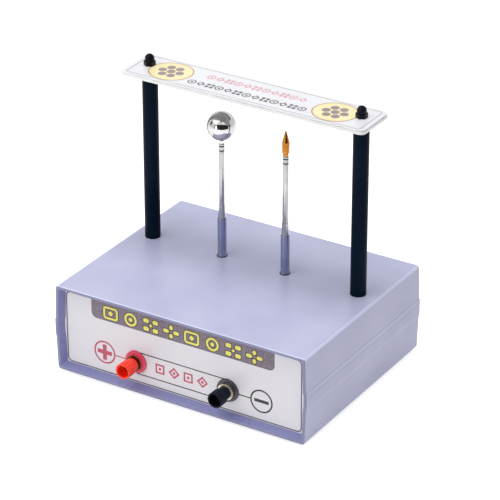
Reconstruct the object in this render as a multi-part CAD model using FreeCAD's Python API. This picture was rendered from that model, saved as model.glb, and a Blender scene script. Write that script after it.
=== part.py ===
"""Lightning-rod demonstrator: a moulded case, a charged plate on two columns, and two telescopic masts.

Millimetres. +Z is up, +X runs along the front, and the front looks towards -Y. The origin is on the
surface that the feet stand on, at the middle of the whole object's box.
"""
import FreeCAD, Part
import os
from math import cos, pi, radians, sin, tan

from FreeCAD import Placement, Rotation, Vector

# ---------------------------------------------------------------- case
case_width = 190.0          # across the top and bottom edges
case_depth = 150.0
shell_height = 62.5
shell_wall = 2.2
edge_radius = 2.2           # long edges of the case
side_draft = 0.8            # how far each side spreads from its edge to the belt
belt_step = 0.6             # how far the belt round the parting stands proud of the sides
belt_low = 27.0             # belt, above the shell's underside
belt_high = 37.0
belt_chamfer = 1.2
belt_bevel = 3.5
parting_height = 34.0       # parting of the half shells, above the shell's underside
tongue_height = 1.6
tongue_thickness = 1.0
parting_gap = 0.1

rim_depth = 5.0             # how deep the panels lie in the case
rim_slope = 2.4             # inward taper of the mouth over that depth
mouth_radius = 1.2
panel_thickness = 2.0
panel_bite = 1.3            # how far a panel's edge reaches into its channel
panel_clearance = 0.1
channel_rib = 1.8
label_thickness = 0.3
label_margin = 0.15

foot_height = 2.5
foot_radius = 5.0
foot_bevel = 0.75
foot_bevel_height = 1.0
foot_inset = 15.0           # from the case's edges to a foot's axis

boss_side_inset = 13.0      # from the case's side edge to a boss's axis
boss_end_inset = 31.0       # from the case's open end to a boss's axis
boss_radius = 4.6
well_radius = 3.2           # well for a screw's head, in the lower boss
screw_seat = 3.0
screw_length = 13.0
screw_radius = 1.45
screw_head_radius = 2.8
screw_head_height = 2.0
screw_head_bevel = 0.6
screw_clearance = 0.1
pilot_spare = 1.0           # depth of a screw's pilot hole past its point

# ---------------------------------------------------------------- plate on its columns
column_inset = 15.0         # from the case's side edge to a column's axis
row_y = 18.5                # columns and masts, behind the middle of the case
column_radius = 5.35
column_bore = 2.4
column_chamfer = 0.3
plate_height = 191.0        # top of the printed plate, above the floor
plate_overhang = 11.5       # from a column's axis to the plate's end
plate_depth = 34.5
plate_offset = -1.2         # middle of the plate, from the row of columns
plate_thickness = 3.0
plate_corner = 4.0
film_thickness = 0.2        # printed film on the plate
film_margin = 0.3

rod_radius = 1.95           # tie rods through the columns
rod_clearance = 0.15
rod_bevel = 0.6
rod_show = 2.5              # thread left below the last nut
rod_into_nut = 5.2
rod_nut_flats = 7.0
rod_nut_height = 3.2
rod_washer_radius = 4.5
rod_washer_thickness = 0.8

dome_flats = 7.0
dome_hex_height = 3.2
dome_radius = 3.2
dome_height = 8.0
dome_bore_depth = 6.0

# ---------------------------------------------------------------- telescopic masts, above the deck
mast_x = 24.5
base_outer = 3.0
base_rise = 28.0
base_mouth_chamfer = 0.25
base_drop = 50.0
base_floor = 1.5
base_flange_radius = 3.3
base_flange_height = 1.2
middle_outer = 2.5
middle_length = 70.0
middle_mouth_height = 8.0   # rolled-in mouth of the middle tube
middle_mouth_wall = 0.15
top_outer = 2.0
top_bore = 1.5
top_length = 60.0
ball_middle_rise = 37.8
ball_top_rise = 76.3
needle_middle_rise = 37.2
needle_top_rise = 79.1
collar_radius = 2.1
collar_height = 6.4
collar_groove = 0.45
collar_groove_width = 0.75
collar_groove_heights = (1.15, 4.25)
collar_spigot = 5.0
spigot_radius = 1.0
spigot_length = 4.0
spigot_spare = 0.5          # bore left below a spigot
fit_gap = 0.05              # radial clearance of every fit on the masts

deck_washer_radius = 3.6
deck_washer_thickness = 0.5
mast_hole_clearance = 0.2
mast_nut_flats = 9.0
mast_nut_height = 3.0
under_washer_radius = 5.2
under_washer_thickness = 1.0
link_width = 8.0
link_thickness = 0.8

ball_radius = 10.0
neck_radius = 1.5
neck_height = 2.5           # from the collar to the ball's lowest point

needle_step_radius = 1.8
needle_step_height = 1.9
needle_shoulder_radius = 2.4
needle_shoulder_height = 0.5
needle_body_radius = 2.6
needle_body_height = 7.4
needle_nose_radius = 1.42   # half-way from the body to the point
needle_height = 18.4
needle_tip_radius = 0.15

# ---------------------------------------------------------------- binding posts, outwards from the label
post_x = 35.3
post_height = 20.4          # above the shell's underside
post_reach = 16.5           # end of the cap
collar_flange_radius = 8.0
collar_flange_thickness = 1.7
collar_step_radius = 6.1
collar_step_thickness = 0.9
collar_round = 0.6
panel_spigot_radius = 4.4
panel_hole_clearance = 0.15
stem_radius = 3.0
stem_clearance = 0.1
stem_front = 9.0
stem_chamfer = 0.4
stem_show = 1.9             # thread left behind the last nut
stem_flange_radius = 5.7
stem_flange_thickness = 1.2
socket_radius = 2.0         # bore for a standard 4 mm plug
socket_depth = 15.0
pinch_gap = 0.2             # between the stem's flange and the clamp washer when shut
pinch_washer_radius = 5.3
pinch_washer_thickness = 0.7
cap_gap = 0.1
cap_radius = 5.5            # fluted knob
cap_neck_radius = 4.7       # plain neck behind the knob
cap_neck_length = 4.3
cap_shoulder = 0.6          # height of the slope from the neck to the knob
cap_recess_radius = 4.2
cap_web = 1.4               # wall between the insert's seat and the recess
cap_web_bore = 3.3          # lets a plug through to the stem
cap_chamfer = 0.4
flute_count = 12
flute_radius = 0.9
flute_depth = 0.55
insert_radius = 3.9
insert_length = 4.2
insert_gap = 0.05
thread_gap = 0.05
rear_bush_radius = 6.5
rear_bush_thickness = 2.0
post_nut_flats = 10.0
post_nut_height = 3.0

# ---------------------------------------------------------------- leads inside the case
lead_radius = 0.8
lug_thickness = 0.8
lug_ring_width = 1.9
lug_tail_width = 3.0
lug_tail_length = 4.5       # ring to the barrel's inner end
barrel_radius = 1.5
barrel_bore = 0.9
barrel_length = 5.0
lead_grip = 4.0             # how far a lead reaches into its barrel
bend_share = 0.45           # reach of a lead's arc, of the shorter run beside it

# ---------------------------------------------------------------- places that follow from the sizes
case_y = (post_reach - rim_depth) / 2
column_x = case_width / 2 - column_inset
plate_width = 2 * (column_x + plate_overhang)
foot_x = case_width / 2 - foot_inset
foot_y = case_depth / 2 - foot_inset
boss_x = case_width / 2 - boss_side_inset
boss_y = case_depth / 2 - boss_end_inset
shell_bottom = foot_height
shell_top = foot_height + shell_height
deck_under = shell_top - shell_wall
parting = shell_bottom + parting_height
case_front = case_y - case_depth / 2
case_back = case_y + case_depth / 2
label_face = case_front + rim_depth
panel_face = label_face + label_thickness
window_inset = shell_wall + rim_slope
panel_inset = window_inset - panel_bite
row = case_y + row_y
column_top = plate_height - film_thickness - plate_thickness
middle_bore = top_outer + fit_gap
base_bore = middle_outer + fit_gap
post_z = shell_bottom + post_height
panel_back = label_thickness + panel_thickness      # behind the label's face, on a post's axis
stem_flange_start = collar_flange_thickness + collar_step_thickness
pinch_start = stem_flange_start + stem_flange_thickness + pinch_gap
cap_start = pinch_start + pinch_washer_thickness + cap_gap
insert_start = cap_start + cap_gap
insert_end = insert_start + insert_length
bush_end = -panel_back - rear_bush_thickness
lug_face = bush_end - post_nut_height
lug_back = lug_face - lug_thickness
mast_base = deck_washer_thickness
rod_lug_low = deck_under - rod_washer_thickness - rod_nut_height - lug_thickness
Z_AXIS = Vector(0, 0, 1)
big = 2 * (case_width + case_depth)     # past every face of the part
past = 1.0                              # how far a cut runs past the face that it opens

nodes = {}


# ---------------------------------------------------------------- small helpers
def block(x0, x1, y0, y1, z0, z1):
    """Box between two corners."""
    return Part.makeBox(x1 - x0, y1 - y0, z1 - z0, Vector(x0, y0, z0))


def turned(profile):
    """Solid turned about Z from (radius, height) points."""
    points = [Vector(radius, 0, height) for radius, height in profile]
    face = Part.Face(Part.makePolygon(points + points[:1]))
    return face.revolve(Vector(0, 0, 0), Z_AXIS, 360)


def disc(radius, low, high):
    """Cylinder about Z between two heights."""
    return Part.makeCylinder(radius, high - low, Vector(0, 0, low))


def ring(outer, bore, low, high):
    """Plain tube about Z between two heights."""
    return disc(outer, low, high).cut(disc(bore, low - past, high + past))


def hexagon(flats, low, high):
    """Hexagonal prism about Z, with its corners bevelled at both ends."""
    corner = flats / 2 / cos(radians(30))
    points = [Vector(corner * cos(radians(60 * k)), corner * sin(radians(60 * k)), low) for k in range(7)]
    prism = Part.Face(Part.makePolygon(points)).extrude(Vector(0, 0, high - low))
    bevel = (corner - flats / 2) * tan(radians(30))
    rim = flats / 2
    return prism.common(turned([(0, low), (rim, low), (corner, low + bevel), (corner, high - bevel),
                                (rim, high), (0, high)]))


def nut(flats, bore, low, high):
    """Hexagon nut about Z."""
    return hexagon(flats, low, high).cut(disc(bore, low - past, high + past))


def moved(shape, x, y, z):
    """Copy of a shape, moved."""
    copy = shape.copy()
    copy.translate(Vector(x, y, z))
    return copy


def on_panel(shape, x):
    """Copy of a shape made about Z, set on a post's axis with Z pointing out of the front."""
    copy = shape.copy()
    copy.Placement = Placement(Vector(x, label_face, post_z), Rotation(Vector(1, 0, 0), 90))
    return copy


def rounded(shape, radius, wanted):
    """Shape with a fillet on each edge that passes the test."""
    return shape.makeFillet(radius, [edge for edge in shape.Edges if wanted(edge)])


def is_circle(edge, radius, height):
    """True for a circle of this radius about Z at this height."""
    curve = edge.Curve
    return isinstance(curve, Part.Circle) and abs(curve.Radius - radius) < 1e-4 \
        and abs(curve.Center.z - height) < 1e-4


def both_sides(make, x):
    """The same piece at -x and at +x, as one group."""
    return Part.makeCompound([make(-x), make(x)])


# ---------------------------------------------------------------- case
def case_outline(y, inset):
    """Closed outline of the case's section, moved in by inset: straight drafted sides and a belt."""
    rim = case_width / 2 - inset
    waist = rim + side_draft
    belt = waist + belt_step
    side = [(rim, shell_top - inset), (waist, shell_bottom + belt_high + belt_chamfer),
            (belt, shell_bottom + belt_high), (belt, shell_bottom + belt_low),
            (waist, shell_bottom + belt_low - belt_bevel), (rim, shell_bottom + inset)]
    right = [Vector(x, y, z) for x, z in side]
    left = [Vector(-x, y, z) for x, z in reversed(side)]
    return Part.makePolygon(right + left + right[:1])


def case_slab(y0, y1, inset):
    """Part of the case's section, between two depths."""
    return Part.Face(case_outline(y0, inset)).extrude(Vector(0, y1 - y0, 0))


def is_long_corner(edge, half_width, low, high):
    """True for an edge that runs from front to back at a corner of the section."""
    ends = [vertex.Point for vertex in edge.Vertexes]
    if len(ends) < 2 or abs(ends[0].y - ends[1].y) < 1:
        return False
    return all(abs(abs(p.x) - half_width) < rim_slope + 0.01 and min(abs(p.z - low), abs(p.z - high))
               < rim_slope + 0.01 for p in ends)


def mouth_cut(outer_y, inner_y):
    """Tapered opening in front of a panel, from the case's open end to the panel's face."""
    outlines = [case_outline(outer_y, shell_wall), case_outline(inner_y, window_inset)]
    half = case_width / 2 - shell_wall
    low = shell_bottom + shell_wall
    return rounded(Part.makeLoft(outlines, True, True), mouth_radius,
                   lambda edge: is_long_corner(edge, half, low, deck_under))


def end_cuts(outer_y, inwards):
    """Mouth, land, channel and rib opening at one end. inwards is +1 at the front and -1 behind."""
    land = outer_y + inwards * rim_depth
    channel = land + inwards * (label_thickness - panel_clearance)
    channel_end = channel + inwards * (panel_thickness + 2 * panel_clearance)
    rib_end = channel_end + inwards * channel_rib
    window = case_slab(land, rib_end, window_inset)
    groove = case_slab(channel, channel_end, panel_inset - panel_clearance)
    return [mouth_cut(outer_y, land), window, groove], rib_end


def case_shells():
    """Lower and upper half shells, split at the parting, with a lap joint along both sides."""
    half = case_width / 2
    body = rounded(case_slab(case_front, case_back, 0), edge_radius,
                   lambda edge: is_long_corner(edge, half, shell_bottom, shell_top))
    front_cuts, cavity_front = end_cuts(case_front, 1)
    back_cuts, cavity_back = end_cuts(case_back, -1)
    body = body.cut(front_cuts + back_cuts + [case_slab(cavity_front, cavity_back, shell_wall)])

    lower = body.common(block(-big, big, -big, big, -big, parting))
    upper = body.common(block(-big, big, -big, big, parting, big))
    inner = half + side_draft + belt_step - shell_wall
    for side in (-1, 1):
        inside = side * inner
        outside = side * (inner + tongue_thickness)
        x0, x1 = min(inside, outside), max(inside, outside)
        lower = lower.fuse(block(x0, x1, cavity_front, cavity_back, parting, parting + tongue_height))
        upper = upper.cut(block(x0 - parting_gap, x1 + parting_gap, cavity_front - parting_gap,
                                cavity_back + parting_gap, parting, parting + tongue_height + parting_gap))
    return lower.removeSplitter(), upper


def boss_places():
    """Middle of each screw boss."""
    return [(x, case_y + y) for x in (-boss_x, boss_x) for y in (-boss_y, boss_y)]


def make_case():
    """Half shells with their bosses and holes, panels, feet and screws."""
    lower, upper = case_shells()
    seat = parting - screw_seat
    pilot = screw_length - screw_seat + pilot_spare
    for x, y in boss_places():
        lower = lower.fuse(moved(disc(boss_radius, shell_bottom, parting), x, y, 0))
        upper = upper.fuse(moved(disc(boss_radius, parting, shell_top - edge_radius / 2), x, y, 0))
    for x, y in boss_places():
        well = disc(well_radius, shell_bottom - past, seat)
        shaft_hole = disc(screw_radius + screw_clearance, seat - past, parting + past)
        pilot_hole = disc(screw_radius + thread_gap, parting - past, parting + pilot)
        lower = lower.cut([moved(well, x, y, 0), moved(shaft_hole, x, y, 0)])
        upper = upper.cut(moved(pilot_hole, x, y, 0))
    for side in (-1, 1):
        rod_hole = disc(rod_radius + rod_clearance, deck_under - past, shell_top + past)
        mast_hole = disc(base_outer + mast_hole_clearance, deck_under - past, shell_top + past)
        upper = upper.cut([moved(rod_hole, side * column_x, row, 0),
                           moved(mast_hole, side * mast_x, row, 0)])
    nodes["lower_shell"] = lower
    nodes["upper_shell"] = upper

    head = seat - screw_head_height
    screw = turned([(0, head), (screw_head_radius - screw_head_bevel, head),
                    (screw_head_radius, head + screw_head_bevel), (screw_head_radius, seat),
                    (screw_radius, seat), (screw_radius, seat + screw_length - screw_radius),
                    (0, seat + screw_length)])
    nodes["case_screws"] = Part.makeCompound([moved(screw, x, y, 0) for x, y in boss_places()])

    foot = turned([(0, 0), (foot_radius - foot_bevel, 0), (foot_radius, foot_bevel_height),
                   (foot_radius, foot_height), (0, foot_height)])
    nodes["rubber_feet"] = Part.makeCompound(
        [moved(foot, x, case_y + y, 0) for x in (-foot_x, foot_x) for y in (-foot_y, foot_y)])

    post_hole = panel_spigot_radius + panel_hole_clearance
    drills = [on_panel(disc(post_hole, -panel_back - past, past), x) for x in (-post_x, post_x)]
    front = case_slab(panel_face, panel_face + panel_thickness, panel_inset)
    nodes["front_panel"] = front.cut(drills)
    nodes["panel_label"] = case_slab(label_face, panel_face, window_inset + label_margin).cut(drills)
    back_face = case_back - rim_depth - label_thickness
    nodes["rear_panel"] = case_slab(back_face - panel_thickness, back_face, panel_inset)


# ---------------------------------------------------------------- plate on its columns
def rounded_plate(width, depth, corner, low, high):
    """Flat plate with round corners, centred over the row of columns."""
    y = row + plate_offset
    plate = block(-width / 2, width / 2, y - depth / 2, y + depth / 2, low, high)
    half = (high - low) / 2
    return rounded(plate, corner, lambda edge: abs(edge.Vertexes[0].Z - edge.Vertexes[-1].Z) > half)


def dome_nut():
    """Cap nut with a round dome and a blind bore, standing on Z = 0."""
    shoulder = dome_height - dome_radius
    dome = disc(dome_radius, dome_hex_height, shoulder).fuse(
        Part.makeSphere(dome_radius, Vector(0, 0, shoulder), Z_AXIS, 0, 90, 360))
    solid = hexagon(dome_flats, 0, dome_hex_height).fuse(dome)
    return solid.cut(disc(rod_radius + thread_gap, -past, dome_bore_depth)).removeSplitter()


def make_columns():
    """Columns, tie rods, printed plate and their fasteners."""
    inner = column_radius - column_chamfer
    column = turned([(column_bore, shell_top), (inner, shell_top),
                     (column_radius, shell_top + column_chamfer),
                     (column_radius, column_top - column_chamfer),
                     (inner, column_top), (column_bore, column_top)])
    rod_low = rod_lug_low - rod_nut_height - rod_show
    rod_high = plate_height + rod_into_nut
    end = rod_radius - rod_bevel
    rod = turned([(0, rod_low), (end, rod_low), (rod_radius, rod_low + rod_bevel),
                  (rod_radius, rod_high - rod_bevel), (end, rod_high), (0, rod_high)])
    for name, x in (("left", -column_x), ("right", column_x)):
        nodes[name + "_column"] = moved(column, x, row, 0)
        nodes[name + "_tie_rod"] = moved(rod, x, row, 0)

    hole = disc(rod_radius + rod_clearance, column_top - past, plate_height + past)
    holes = [moved(hole, x, row, 0) for x in (-column_x, column_x)]
    plate_top = plate_height - film_thickness
    plate = rounded_plate(plate_width, plate_depth, plate_corner, column_top, plate_top)
    film = rounded_plate(plate_width - 2 * film_margin, plate_depth - 2 * film_margin,
                         plate_corner - film_margin, plate_top, plate_height)
    nodes["top_plate"] = plate.cut(holes)
    nodes["plate_film"] = film.cut(holes)
    nodes["dome_nuts"] = both_sides(lambda x: moved(dome_nut(), x, row, plate_height), column_x)

    washer_low = deck_under - rod_washer_thickness
    washer = ring(rod_washer_radius, rod_radius + rod_clearance, washer_low, deck_under)
    nodes["rod_washers"] = both_sides(lambda x: moved(washer, x, row, 0), column_x)
    upper_nut = nut(rod_nut_flats, rod_radius + thread_gap, washer_low - rod_nut_height, washer_low)
    nodes["rod_nuts"] = both_sides(lambda x: moved(upper_nut, x, row, 0), column_x)


# ---------------------------------------------------------------- telescopic masts
def middle_tube(rise):
    """Drawn tube that slides in the base; its long mouth is rolled in to a thin lip."""
    low = rise - middle_length
    lip = middle_bore + middle_mouth_wall
    return turned([(middle_bore, low), (middle_outer, low), (middle_outer, rise - middle_mouth_height),
                   (lip, rise), (middle_bore, rise)])


def base_tube():
    """Base of a mast: closed at its foot, threaded below the deck, flared where it stands on the deck."""
    low = -base_drop
    flange = mast_base + base_flange_height
    return turned([(0, low), (base_outer, low), (base_outer, mast_base), (base_flange_radius, mast_base),
                   (base_flange_radius, mast_base + base_flange_height / 3), (base_outer, flange),
                   (base_outer, base_rise - base_mouth_chamfer), (base_outer - base_mouth_chamfer, base_rise),
                   (base_bore, base_rise), (base_bore, low + base_floor), (0, low + base_floor)])


def end_collar(low):
    """Plug at the top of a mast: two ring grooves, a spigot into the tube and a bore for the electrode."""
    high = low + collar_height
    first, second = (low + height for height in collar_groove_heights)
    waist = collar_radius - collar_groove
    plug = top_bore - fit_gap
    bore = spigot_radius + fit_gap
    floor = high - spigot_length - spigot_spare
    return turned([(0, low - collar_spigot), (plug, low - collar_spigot), (plug, low), (collar_radius, low),
                   (collar_radius, first), (waist, first), (waist, first + collar_groove_width),
                   (collar_radius, first + collar_groove_width), (collar_radius, second), (waist, second),
                   (waist, second + collar_groove_width), (collar_radius, second + collar_groove_width),
                   (collar_radius, high - collar_groove), (waist, high), (bore, high), (bore, floor),
                   (0, floor)])


def ball(foot):
    """Round electrode with its neck and spigot."""
    centre = foot + neck_height + ball_radius
    stem = turned([(0, foot - spigot_length), (spigot_radius, foot - spigot_length), (spigot_radius, foot),
                   (neck_radius, foot), (neck_radius, centre), (0, centre)])
    return Part.makeSphere(ball_radius, Vector(0, 0, centre)).fuse(stem).removeSplitter()


def needle(foot):
    """Pointed electrode: a step, a barrel and an ogive that ends in a point."""
    shoulder = foot + needle_step_height
    nose = shoulder + needle_body_height
    tip = foot + needle_height
    middle = (nose + tip) / 2
    points = [(0, foot - spigot_length), (spigot_radius, foot - spigot_length), (spigot_radius, foot),
              (needle_step_radius, foot), (needle_step_radius, shoulder),
              (needle_shoulder_radius, shoulder + needle_shoulder_height), (needle_body_radius, nose)]
    line = [Vector(radius, 0, height) for radius, height in points]
    edges = [Part.LineSegment(a, b).toShape() for a, b in zip(line, line[1:])]
    half_way = Vector(needle_nose_radius, 0, middle)
    edges.append(Part.Arc(line[-1], half_way, Vector(needle_tip_radius, 0, tip)).toShape())
    edges.append(Part.LineSegment(Vector(needle_tip_radius, 0, tip), Vector(0, 0, tip)).toShape())
    edges.append(Part.LineSegment(Vector(0, 0, tip), line[0]).toShape())
    return Part.Face(Part.Wire(edges)).revolve(Vector(0, 0, 0), Z_AXIS, 360)


def link_strip(low):
    """Copper strip that joins the two masts under the deck."""
    half = link_width / 2
    strip = block(-mast_x, mast_x, row - half, row + half, low, low + link_thickness)
    for side in (-1, 1):
        strip = strip.fuse(moved(disc(half, low, low + link_thickness), side * mast_x, row, 0))
    for side in (-1, 1):
        hole = disc(base_outer + fit_gap, low - past, low + link_thickness + past)
        strip = strip.cut(moved(hole, side * mast_x, row, 0))
    return strip.removeSplitter()


def make_masts():
    """Both masts, their fixings and their link. Returns the underside of the needle mast's lug."""
    for name, x, middle_rise, top_rise, electrode in (
            ("ball", -mast_x, ball_middle_rise, ball_top_rise, ball),
            ("needle", mast_x, needle_middle_rise, needle_top_rise, needle)):
        top = ring(top_outer, top_bore, top_rise - top_length, top_rise)
        nodes[name + "_mast_base"] = moved(base_tube(), x, row, shell_top)
        nodes[name + "_mast_middle"] = moved(middle_tube(middle_rise), x, row, shell_top)
        nodes[name + "_mast_top"] = moved(top, x, row, shell_top)
        nodes[name + "_mast_collar"] = moved(end_collar(top_rise), x, row, shell_top)
        nodes[name + "_electrode"] = moved(electrode(top_rise + collar_height), x, row, shell_top)

    bore = base_outer + fit_gap
    deck_washer = ring(deck_washer_radius, bore, shell_top, shell_top + deck_washer_thickness)
    nodes["deck_washers"] = both_sides(lambda x: moved(deck_washer, x, row, 0), mast_x)
    washer_low = deck_under - under_washer_thickness
    nut_low = washer_low - mast_nut_height
    under_washer = ring(under_washer_radius, bore, washer_low, deck_under)
    nodes["mast_washers"] = both_sides(lambda x: moved(under_washer, x, row, 0), mast_x)
    clamp_nut = nut(mast_nut_flats, bore, nut_low, washer_low)
    nodes["mast_nuts"] = both_sides(lambda x: moved(clamp_nut, x, row, 0), mast_x)
    link_low = nut_low - link_thickness
    nodes["mast_link"] = link_strip(link_low)
    ball_lock = nut(mast_nut_flats, bore, link_low - mast_nut_height, link_low)
    lug_low = link_low - lug_thickness
    needle_lock = nut(mast_nut_flats, bore, lug_low - mast_nut_height, lug_low)
    nodes["mast_lock_nuts"] = Part.makeCompound([moved(ball_lock, -mast_x, row, 0),
                                                 moved(needle_lock, mast_x, row, 0)])
    return lug_low


# ---------------------------------------------------------------- binding posts
def post_collar():
    """Insulating collar: a flange, a raised step and a spigot through the panel."""
    top = stem_flange_start
    bore = stem_radius + stem_clearance
    collar = turned([(bore, -panel_thickness), (panel_spigot_radius, -panel_thickness),
                     (panel_spigot_radius, 0), (collar_flange_radius, 0),
                     (collar_flange_radius, collar_flange_thickness),
                     (collar_step_radius, collar_flange_thickness), (collar_step_radius, top), (bore, top)])
    return rounded(collar, collar_round, lambda edge: is_circle(edge, collar_flange_radius,
                                                                collar_flange_thickness))


def post_stem():
    """Brass stem: bored for a plug, with a flange that seats on the collar."""
    seat = stem_flange_start
    face = seat + stem_flange_thickness
    floor = stem_front - socket_depth
    tail = lug_back - post_nut_height - stem_show
    return turned([(0, tail), (stem_radius - stem_chamfer, tail), (stem_radius, tail + stem_chamfer),
                   (stem_radius, seat), (stem_flange_radius, seat), (stem_flange_radius, face),
                   (stem_radius, face), (stem_radius, stem_front), (socket_radius, stem_front),
                   (socket_radius, floor), (0, floor)])


def post_cap():
    """Cap: a plain neck with the insert's seat, and a fluted knob that is open at its end."""
    neck_end = cap_start + cap_neck_length
    seat = insert_radius + insert_gap
    seat_end = insert_end + insert_gap
    web_end = seat_end + cap_web
    cap = turned([(seat, cap_start), (cap_neck_radius, cap_start), (cap_neck_radius, neck_end),
                  (cap_radius, neck_end + cap_shoulder), (cap_radius, post_reach - cap_chamfer),
                  (cap_radius - cap_chamfer, post_reach), (cap_recess_radius + cap_chamfer, post_reach),
                  (cap_recess_radius, post_reach - cap_chamfer), (cap_recess_radius, web_end),
                  (cap_web_bore, web_end), (cap_web_bore, seat_end), (seat, seat_end)])
    axis_at = cap_radius + flute_radius - flute_depth
    flutes = []
    for k in range(flute_count):
        angle = 2 * pi * (k + 0.5) / flute_count
        flute = disc(flute_radius, neck_end - past, post_reach + past)
        flutes.append(moved(flute, axis_at * cos(angle), axis_at * sin(angle), 0))
    return cap.cut(flutes)


def ring_lug(bore):
    """Crimp lug: a ring about Z from 0 up, a tail along +X and a barrel at its end."""
    outer = bore + lug_ring_width
    tail_end = outer + lug_tail_length
    half = lug_tail_width / 2
    flat = disc(outer, 0, lug_thickness).fuse(block(0, tail_end, -half, half, 0, lug_thickness))
    flat = flat.cut(disc(bore, -past, lug_thickness + past))
    barrel = ring(barrel_radius, barrel_bore, 0, barrel_length)
    barrel.Placement = Placement(Vector(tail_end, 0, lug_thickness / 2), Rotation(Vector(0, 1, 0), 90))
    return flat.fuse(barrel).removeSplitter()


def barrel_end(bore):
    """Distance from a lug's axis to the open end of its barrel."""
    return bore + lug_ring_width + lug_tail_length + barrel_length


def placed_lug(bore, at, x_axis, z_axis):
    """Lug with its ring at a point, its tail along x_axis and its ring's axis along z_axis."""
    lug = ring_lug(bore)
    lug.Placement = Placement(at, Rotation(x_axis, z_axis.cross(x_axis), z_axis, "ZXY"))
    return lug


def make_posts():
    """Both binding posts. Returns the middle of each lug's ring."""
    collar = post_collar()
    stem = post_stem()
    pinch_end = pinch_start + pinch_washer_thickness
    washer = ring(pinch_washer_radius, stem_radius + fit_gap, pinch_start, pinch_end)
    cap = post_cap()
    insert = ring(insert_radius, stem_radius + thread_gap, insert_start, insert_end)
    bore = stem_radius + stem_clearance
    bush = ring(rear_bush_radius, bore, bush_end, -panel_back)
    first_nut = nut(post_nut_flats, bore, lug_face, bush_end)
    second_nut = nut(post_nut_flats, bore, lug_back - post_nut_height, lug_back)
    lug_places = []
    for name, x in (("red", -post_x), ("black", post_x)):
        nodes[name + "_post_collar"] = on_panel(collar, x)
        nodes[name + "_post_stem"] = on_panel(stem, x)
        nodes[name + "_pinch_washer"] = on_panel(washer, x)
        nodes[name + "_post_cap"] = on_panel(cap, x)
        nodes[name + "_cap_insert"] = on_panel(insert, x)
        nodes[name + "_rear_bush"] = on_panel(bush, x)
        nodes[name + "_post_nuts"] = Part.makeCompound([on_panel(first_nut, x), on_panel(second_nut, x)])
        at = Vector(x, label_face - lug_face, post_z)
        nodes[name + "_post_lug"] = placed_lug(bore, at, Z_AXIS, Vector(0, 1, 0))
        lug_places.append(at + Vector(0, lug_thickness / 2, barrel_end(bore)))
    return lug_places


# ---------------------------------------------------------------- leads
def lead_path(points):
    """Straight runs joined by tangent arcs, each as large as its two runs allow."""
    edges = []
    start = points[0]
    for before, corner, after in zip(points, points[1:], points[2:]):
        arrive = (corner - before).normalize()
        leave = (after - corner).normalize()
        reach = bend_share * min((corner - before).Length, (after - corner).Length)
        turn = arrive.getAngle(leave)
        radius = reach / tan(turn / 2)
        first = corner - arrive * reach
        last = corner + leave * reach
        inward = (leave - arrive).normalize()
        apex = corner + inward * (radius / cos(turn / 2) - radius)
        edges.append(Part.LineSegment(start, first).toShape())
        edges.append(Part.Arc(first, apex, last).toShape())
        print("lead arc radius", round(radius, 1))
        start = last
    edges.append(Part.LineSegment(start, points[-1]).toShape())
    return Part.Wire(edges)


def lead(points):
    """Insulated lead along a route."""
    path = lead_path(points)
    circle = Part.Wire(Part.Circle(points[0], (points[1] - points[0]).normalize(), lead_radius).toShape())
    tube = path.makePipeShell([circle], True, True)
    section = pi * lead_radius ** 2
    print("lead volume over section times length", round(tube.Volume / (section * path.Length), 4))
    return tube


def make_leads(red_end, black_end, needle_lug_low):
    """Lugs at the far ends, and a lead from each binding post."""
    rod_bore = rod_radius + thread_gap
    forward = Vector(0, -1, 0)
    nodes["rod_lug"] = placed_lug(rod_bore, Vector(-column_x, row, rod_lug_low), forward, Z_AXIS)
    rod_lock = nut(rod_nut_flats, rod_bore, rod_lug_low - rod_nut_height, rod_lug_low)
    nodes["rod_lock_nut"] = moved(rod_lock, -column_x, row, 0)
    mast_bore = base_outer + fit_gap
    nodes["mast_lug"] = placed_lug(mast_bore, Vector(mast_x, row, needle_lug_low), forward, Z_AXIS)

    rod_end = Vector(-column_x, row - barrel_end(rod_bore), rod_lug_low + lug_thickness / 2)
    mast_end = Vector(mast_x, row - barrel_end(mast_bore), needle_lug_low + lug_thickness / 2)
    back = Vector(0, lead_grip, 0)
    down = Vector(0, 0, -lead_grip)
    nodes["red_lead"] = lead([
        rod_end + back, rod_end + Vector(0, -18, 0), rod_end + Vector(12, -34, -4),
        red_end + Vector(-11, 4, 15), red_end + Vector(0, 0, 15), red_end + down])
    nodes["black_lead"] = lead([
        mast_end + back, mast_end + Vector(0, -16, 0), mast_end + Vector(5, -32, -4),
        black_end + Vector(-3, 9, 16), black_end + Vector(0, 0, 15), black_end + down])


def main():
    """Build every node and write one file for each."""
    make_case()
    make_columns()
    needle_lug_low = make_masts()
    red_end, black_end = make_posts()
    make_leads(red_end, black_end, needle_lug_low)
    os.makedirs("parts", exist_ok=True)
    for name, shape in nodes.items():
        if not shape.isValid():
            print("not valid:", name)
        shape.exportStep("parts/" + name + ".step")
        print(name, len(shape.Solids), round(shape.Volume, 1))


main()
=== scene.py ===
"""Lightning-rod demonstrator, dressed for the camera.

A printed plate on two black columns stands over a moulded case, and a ball and a point stand below it on
telescopic masts. Everything is in metres in the part's own frame: +Z is up, +X runs along the front, and
the front looks towards -Y.
"""
from __future__ import annotations

import logging
from collections.abc import Callable, Sequence
from dataclasses import dataclass, field, replace
from enum import Enum
from math import cos, pi, radians, sin

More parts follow.
